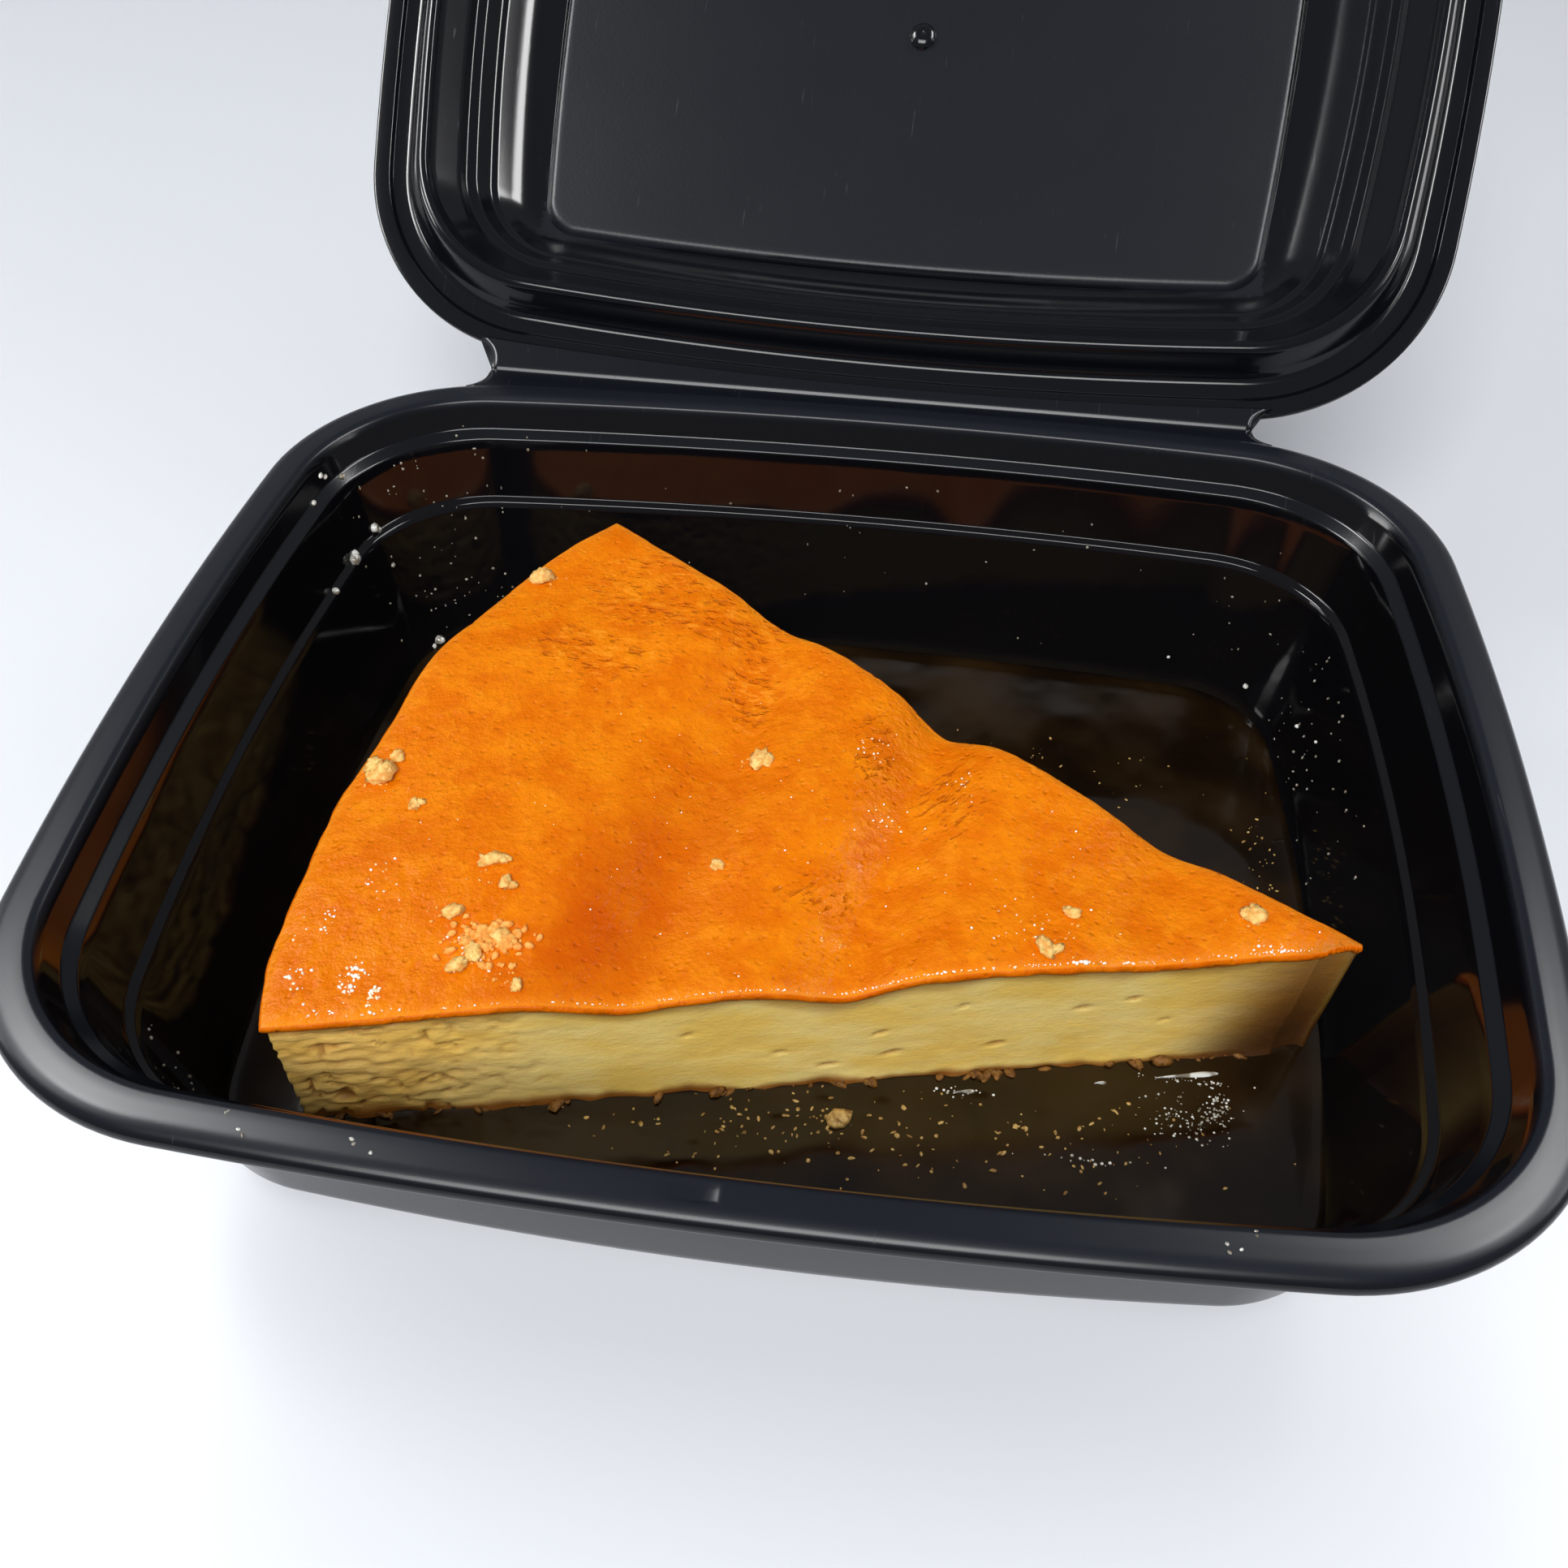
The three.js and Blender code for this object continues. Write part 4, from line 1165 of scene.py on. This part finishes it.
def drop_finish(name, rough, coat_rough, cloud_mm, full, pale, deep):
    """Clear syrup that shows the light: two colours in soft clouds, very smooth and coated; the pale colour
    is a painted highlight.
    """
    finish = Finish(name, Roughness=rough, Coat_Weight=1.0, Coat_Roughness=coat_rough)
    cloud = finish.grain(cloud_mm, detail=1).ramp(0.4, full)
    return finish.done(Base_Color=finish.mix(cloud, pale, deep))


def edge_bead_heaps():
    """One bead at each of many random places along the front edge, a hair inside it."""
    random = np.random.default_rng(17)
    u = random.uniform(0.02, 0.985, EDGE_BEADS)
    x, y = slice_plan(u, np.zeros_like(u))
    thin = 0.12 + 0.26 * smooth_step(0.0, 0.8, noise(u * 14, u * 0, 18)) + random.uniform(0, 0.1, len(u))
    return [(px, py + EDGE_BEAD_INSET, 0.2, 0.2, 1, size) for px, py, size in zip(x, y, thin)]


bead = drop_finish("syrup_bead_highlight", 0.06, 0.03, 3.0, 0.8, paint(255, 252, 240), paint(255, 214, 140))
grains_on_top("syrup_beads", list(BEAD_HEAPS) + edge_bead_heaps(), 19, bead, (1.0, 0.9, 0.7))

# %% [markdown]
# More bits float in the syrup: a chunk of crust and the dust of crumbs along the slice's foot. They
# are thrown in heaps like the grains, and a place counts only where there is open syrup.

# %% Floating bits
CHUNK = (11.7, -44.4, 2.3, 1.7, 1.3)
FLOATING = (
    (5.0, -47.0, 34.0, 8.0, 130, 0.55), (45.0, -42.0, 26.0, 8.0, 70, 0.45), (45.0, 38.0, 26.0, 9.0, 50, 0.36),
    (-72.0, 30.0, 3.0, 16.0, 20, 0.4), (80.0, 20.0, 3.0, 22.0, 40, 0.36), (9.0, -45.0, 6.0, 3.0, 16, 0.6))
SHORE = {"slice": 0.6, "wall_inset": 19.5}


def on_the_pool(heaps, seed):
    """Places on the open syrup only: outside the slice, inside the wall."""
    places, sizes, random = scatter(heaps, seed)
    angle = np.arctan2(places[:, 1], places[:, 0])
    reach = np.hypot(*places.T)
    open_syrup = reach > reach_of(foot_ring, angle) + SHORE["slice"]
    open_syrup &= reach < reach_of(outline(BOX, SHORE["wall_inset"]), angle)
    return places[open_syrup], sizes[open_syrup], random


def add_floating(finish):
    """Crumb dust, stretched and flat, with one larger chunk."""
    places, sizes, random = on_the_pool(FLOATING, 23)
    shape = sizes[:, None] * (1.0, 0.6, 0.5) * random.uniform(0.6, 1.4, (len(sizes), 3))
    places = np.vstack([places, CHUNK[:2]])
    shape = np.vstack([shape, CHUNK[2:]])
    high = np.full(len(places), SYRUP_LEVEL) + shape[:, 2] * 0.2
    points, faces = lumps(np.column_stack([places, high]), shape, 29, 7, 8, 0.22)
    add_piece("floating_crumbs", points, faces, finish, "tray")


add_floating(crumb_finish("dull_crumb", paint(206, 172, 104), paint(130, 92, 40)))

# %% [markdown]
# Foam gathered in the right-hand corner of the panel, and where the syrup swells against the slice's
# foot it draws a few long glints. The foam is thin films over air, whitish of its own, and the glints
# share its pale finish as a painted highlight.

# %% Foam and glints
FOAM = (
    (64.5, -36.6, 6.5, 4.0, 110, 0.26), (69.5, -34.5, 2.0, 3.4, 60, 0.28), (66.0, -29.6, 6.0, 0.6, 40, 0.24),
    (30.0, -36.5, 4.0, 1.0, 18, 0.3), (50.0, -46.5, 8.0, 0.9, 16, 0.34))
GLINTS = ((65.0, -28.5, 5.2, 0.7), (30.5, -36.4, 1.6, 0.5), (51.5, -31.8, 1.0, 0.4))
GLINT_HEIGHT = 0.45


def add_foam(finish):
    """Tiny bubbles, half out of the syrup."""
    places, sizes, _ = on_the_pool(FOAM, 31)
    high = np.full(len(places), SYRUP_LEVEL + 0.03)
    points, faces = lumps(np.column_stack([places, high]), sizes[:, None] * (1, 1, 0.7), 33, 6, 7, 0.03)
    add_piece("syrup_foam", points, faces, finish, "tray")


def add_glints(finish):
    """Flat drops that lie the way the cut runs, thick at one end and drawn out to the other."""
    unit, faces = ball(13, 24)
    way = np.array([math.cos(SLICE["front"]), math.sin(SLICE["front"])])
    points, groups = [], [[], []]
    for index, (x, y, long, wide) in enumerate(GLINTS):
        swelling = wide * (0.25 + 0.75 * smooth_step(0.5, -0.8, unit[:, :1]))
        flat = unit[:, :1] * way * long + unit[:, 1:2] * (-way[1], way[0]) * swelling + (x, y)
        points.append(np.column_stack([flat, SYRUP_LEVEL + unit[:, 2] * GLINT_HEIGHT]))
        for group, face in zip(groups, faces):
            group.append(face + index * len(unit))
    faces = [np.vstack(group) for group in groups]
    add_piece("syrup_glints", np.vstack(points), faces, finish, "tray")


# This pale finish is the foam's own whitish colour, and a painted highlight on the glints and the wall drops.
film_and_highlight = drop_finish("syrup_film_and_highlight", 0.05, 0.02, 2.0, 0.7, paint(226, 226, 220), paint(120, 112, 96))
add_foam(film_and_highlight)
add_glints(film_and_highlight)

# %% [markdown]
# Along its foot the cut is browned and crumbly. Small bits hang there, half in the syrup, and break
# up the straight line where the slice meets it.

# %% Browned bits at the foot
FOOT_LUMPS = 60


def add_foot_lumps(finish):
    """Many small lumps and a few large ones along the front cut, each longer than high."""
    random = np.random.default_rng(43)
    u = random.uniform(0.03, 0.97, FOOT_LUMPS)
    x, y = slice_plan(u, np.zeros_like(u))
    sizes = random.uniform(0.25, 1.0, FOOT_LUMPS) ** 2 * 1.2
    high = SYRUP_LEVEL + random.uniform(-0.1, 0.5, FOOT_LUMPS)
    places = np.column_stack([x + 0.05, y - 0.3 - sizes * 0.2, high])
    shape = sizes[:, None] * (1.3, 0.7, 0.6) * random.uniform(0.6, 1.4, (FOOT_LUMPS, 3))
    points, faces = lumps(places, shape, 47, 8, 10, 0.2)
    add_piece("foot_crumbs", points, faces, finish, "tray")


add_foot_lumps(crumb_finish("brown_crumb", paint(132, 90, 36), paint(84, 50, 14)))

# %% [markdown]
# Syrup splashed when the slice was laid in. Larger drops still cling to the wall, to its steps and
# to the rim, each at the place where the photograph shows it, and some two hundred finer specks
# dried in clouds on the wall. Those on the rim stay low, so that the closed lid clears them. The
# larger drops are painted pale as a highlight.

# %% Drops and dried specks
WALL_DROPS = np.array([
    [-94.0, 53.8, 42.0, 0.7], [-93.5, 54.5, 41.4, 0.6], [-91.6, 57.3, 40.0, 0.7], [-93.6, 48.0, 40.3, 0.6],
    [-88.1, 57.6, 29.7, 1.1], [-87.6, 58.2, 28.9, 0.7], [-89.7, 50.2, 28.9, 1.0], [-89.2, 48.8, 28.8, 1.3],
    [-89.8, 39.3, 28.6, 0.8], [-85.8, 56.6, 22.6, 0.6], [-80.9, 58.7, 4.2, 1.2], [-81.9, 57.6, 3.6, 0.8],
    [86.1, 46.5, 12.0, 0.5], [87.5, 38.3, 15.6, 0.4], [79.2, 62.0, 7.9, 0.7], [64.6, 68.0, 8.5, 0.4]])
RIM_DROPS = np.array([
    [-58.9, -80.0, 44.9, 0.35], [-56.8, -82.2, 45.05, 0.3], [-43.3, -81.7, 45.05, 0.35],
    [-42.9, -82.3, 45.05, 0.3], [-40.6, -83.2, 45.05, 0.25], [56.0, -81.3, 45.0, 0.3],
    [59.3, -79.3, 44.9, 0.3], [57.5, -81.8, 45.05, 0.25]])
SPECKED_DROPS = [0, 1, 2, 4, 5, 6]
RIM_TOP = 45.0
SPECK_HEIGHT = 0.28
WALL_ROWS = slice(8, 17)
WALL_SPLASHES = ((0.375, 0.030, 5.0, 41.0, 80), (0.045, 0.022, 4.0, 24.0, 60), (0.17, 0.05, 6.0, 36.0, 30),
                 (0.60, 0.010, 8.0, 26.0, 14), (0.30, 0.05, 10.0, 36.0, 16))


def add_drops(finish):
    """Larger drops of syrup that cling to the wall, to its steps and to the rim."""
    drops = np.vstack([WALL_DROPS, RIM_DROPS])
    points, faces = lumps(drops[:, :3], drops[:, 3:] * (1.0, 0.8, 0.7), 53, 9, 12, 0.12)
    add_piece("wall_drops", points, faces, finish, "tray")


def add_splashes(finish):
    """Dried specks on the wall: a share of the way round gives the ring's point, a height the level."""
    random = np.random.default_rng(37)
    section = TRAY_SECTION[WALL_ROWS]
    rings = np.stack([outline(BOX, inset) for inset in section[:, 0]])
    count = rings.shape[1]
    places = []
    for turn, spread, low, high, number in WALL_SPLASHES:
        index = (random.normal(turn, spread, number) * count).astype(int) % count
        z = random.uniform(low, high, number)
        level = np.interp(z, section[::-1, 1], np.arange(len(section))[::-1])
        above = np.minimum(level.astype(int), len(section) - 2)
        t = (level - above)[:, None]
        places.append(np.column_stack([rings[above, index] * (1 - t) + rings[above + 1, index] * t, z]))
    rim = RIM_DROPS[SPECKED_DROPS, :3] * (1, 1, 0) + (0, 0, RIM_TOP)
    places = np.vstack(places + [rim, rim + random.normal(0, (0.5, 0.5, 0), rim.shape)])
    sizes = random.uniform(0.10, 0.30, len(places))[:, None] * random.uniform(0.5, 1.4, (len(places), 3))
    sizes[:, 2] = np.minimum(sizes[:, 2], SPECK_HEIGHT)
    points, faces = lumps(places, sizes, 41, 6, 7, 0.1)
    add_piece("dried_specks", points, faces, finish, "tray")


# The larger drops take the pale finish as a painted highlight.
add_drops(film_and_highlight)
add_splashes(crumb_finish("dried_speck", paint(170, 164, 150), paint(96, 84, 66)))

# %% [markdown]
# The table is plain and pale, with just enough gloss to hold a faint image of the box. It is stage
# and not a part of the object.

# %% Table
TABLE_SIZE = 3.0
TABLE_STEPS = 5


def add_table():
    """A flat sheet under the box, as a coarse grid."""
    side = np.linspace(-TABLE_SIZE / 2, TABLE_SIZE / 2, TABLE_STEPS) / MM
    x, y = np.meshgrid(side, side, indexing="ij")
    finish = Finish("table", Roughness=0.32, Specular_IOR_Level=0.35)
    cloud = finish.grain(220, detail=1)
    colour = finish.mix(cloud, paint(226, 230, 236), paint(232, 235, 240))
    mesh = bpy.data.meshes.new("table")
    points = np.stack([x, y, np.zeros_like(x)], axis=-1).reshape(-1, 3)
    mesh.from_pydata(points * MM, [], grid_faces(TABLE_STEPS, TABLE_STEPS)[:, ::-1].tolist())
    mesh.materials.append(finish.done(Base_Color=colour))
    table = bpy.data.objects.new("table", mesh)
    bpy.context.collection.objects.link(table)


add_table()

# %% [markdown]
# Most light comes from one large soft panel in front, above the camera, and the pale table throws
# it back up. A smaller panel at each side models the walls, and a faint one fills the back. Glossy
# black plastic is drawn by what it reflects, so four more lights show in gloss alone: two strips
# that draw the long white lines in its folds, and two low ones that brighten the lid's side walls.

# %% Lights
LIGHTS = {
    "front_panel": {"place": (-0.12, -1.08, 1.32), "size": (1.2, 0.6), "glow": 12.2},
    "left_panel": {"place": (-0.85, 0.15, 0.75), "size": (0.6, 0.30), "glow": 4.4},
    "right_panel": {"place": (0.85, 0.15, 0.75), "size": (0.6, 0.30), "glow": 1.8},
    "back_fill": {"place": (-0.40, 1.10, 1.30), "size": (1.2, 0.6), "glow": 1.5, "shines": False},
    "left_shine": {"place": (-0.66, 0.19, 0.84), "size": (0.42, 0.16), "glow": 32.0, "shine_only": True},
    "right_shine": {"place": (0.66, 0.30, 0.84), "size": (0.62, 0.15), "glow": 24.0, "shine_only": True},
    "left_low": {"place": (-0.95, 0.15, 0.28), "size": (0.3, 0.16), "glow": 11.0, "shine_only": True},
    "right_low": {"place": (0.95, 0.15, 0.45), "size": (0.3, 0.14), "glow": 6.0, "shine_only": True},
}
AIM = Vector((0.0, 0.0, 0.03))


def add_light(name, place, size, glow, shine_only=False, shines=True):
    """A rectangle of soft light that faces the box. Its power is glow times area times pi.

    A shine_only light shows in gloss alone, and one that doesn't shine shows in none."""
    data = bpy.data.lights.new(name, "AREA")
    data.shape = "RECTANGLE"
    data.size, data.size_y = size
    data.energy = glow * size[0] * size[1] * math.pi
    lamp = bpy.data.objects.new(name, data)
    lamp.visible_diffuse = not shine_only
    lamp.visible_transmission = not shine_only
    lamp.visible_glossy = shines
    aim = AIM - Vector(place)
    lamp.matrix_world = Matrix.Translation(place) @ aim.to_track_quat("-Z", "Y").to_matrix().to_4x4()
    bpy.context.collection.objects.link(lamp)


for light_name, light in LIGHTS.items():
    add_light(light_name, **light)

WORLD = {"colour": (0.93, 0.95, 1.0, 1.0), "strength": 0.27}
world = bpy.data.worlds.new("studio")
world.use_nodes = True
background = world.node_tree.nodes["Background"]
background.inputs["Color"].default_value = WORLD["colour"]
background.inputs["Strength"].default_value = WORLD["strength"]
bpy.context.scene.world = world
bpy.context.scene.view_settings.view_transform = "Standard"
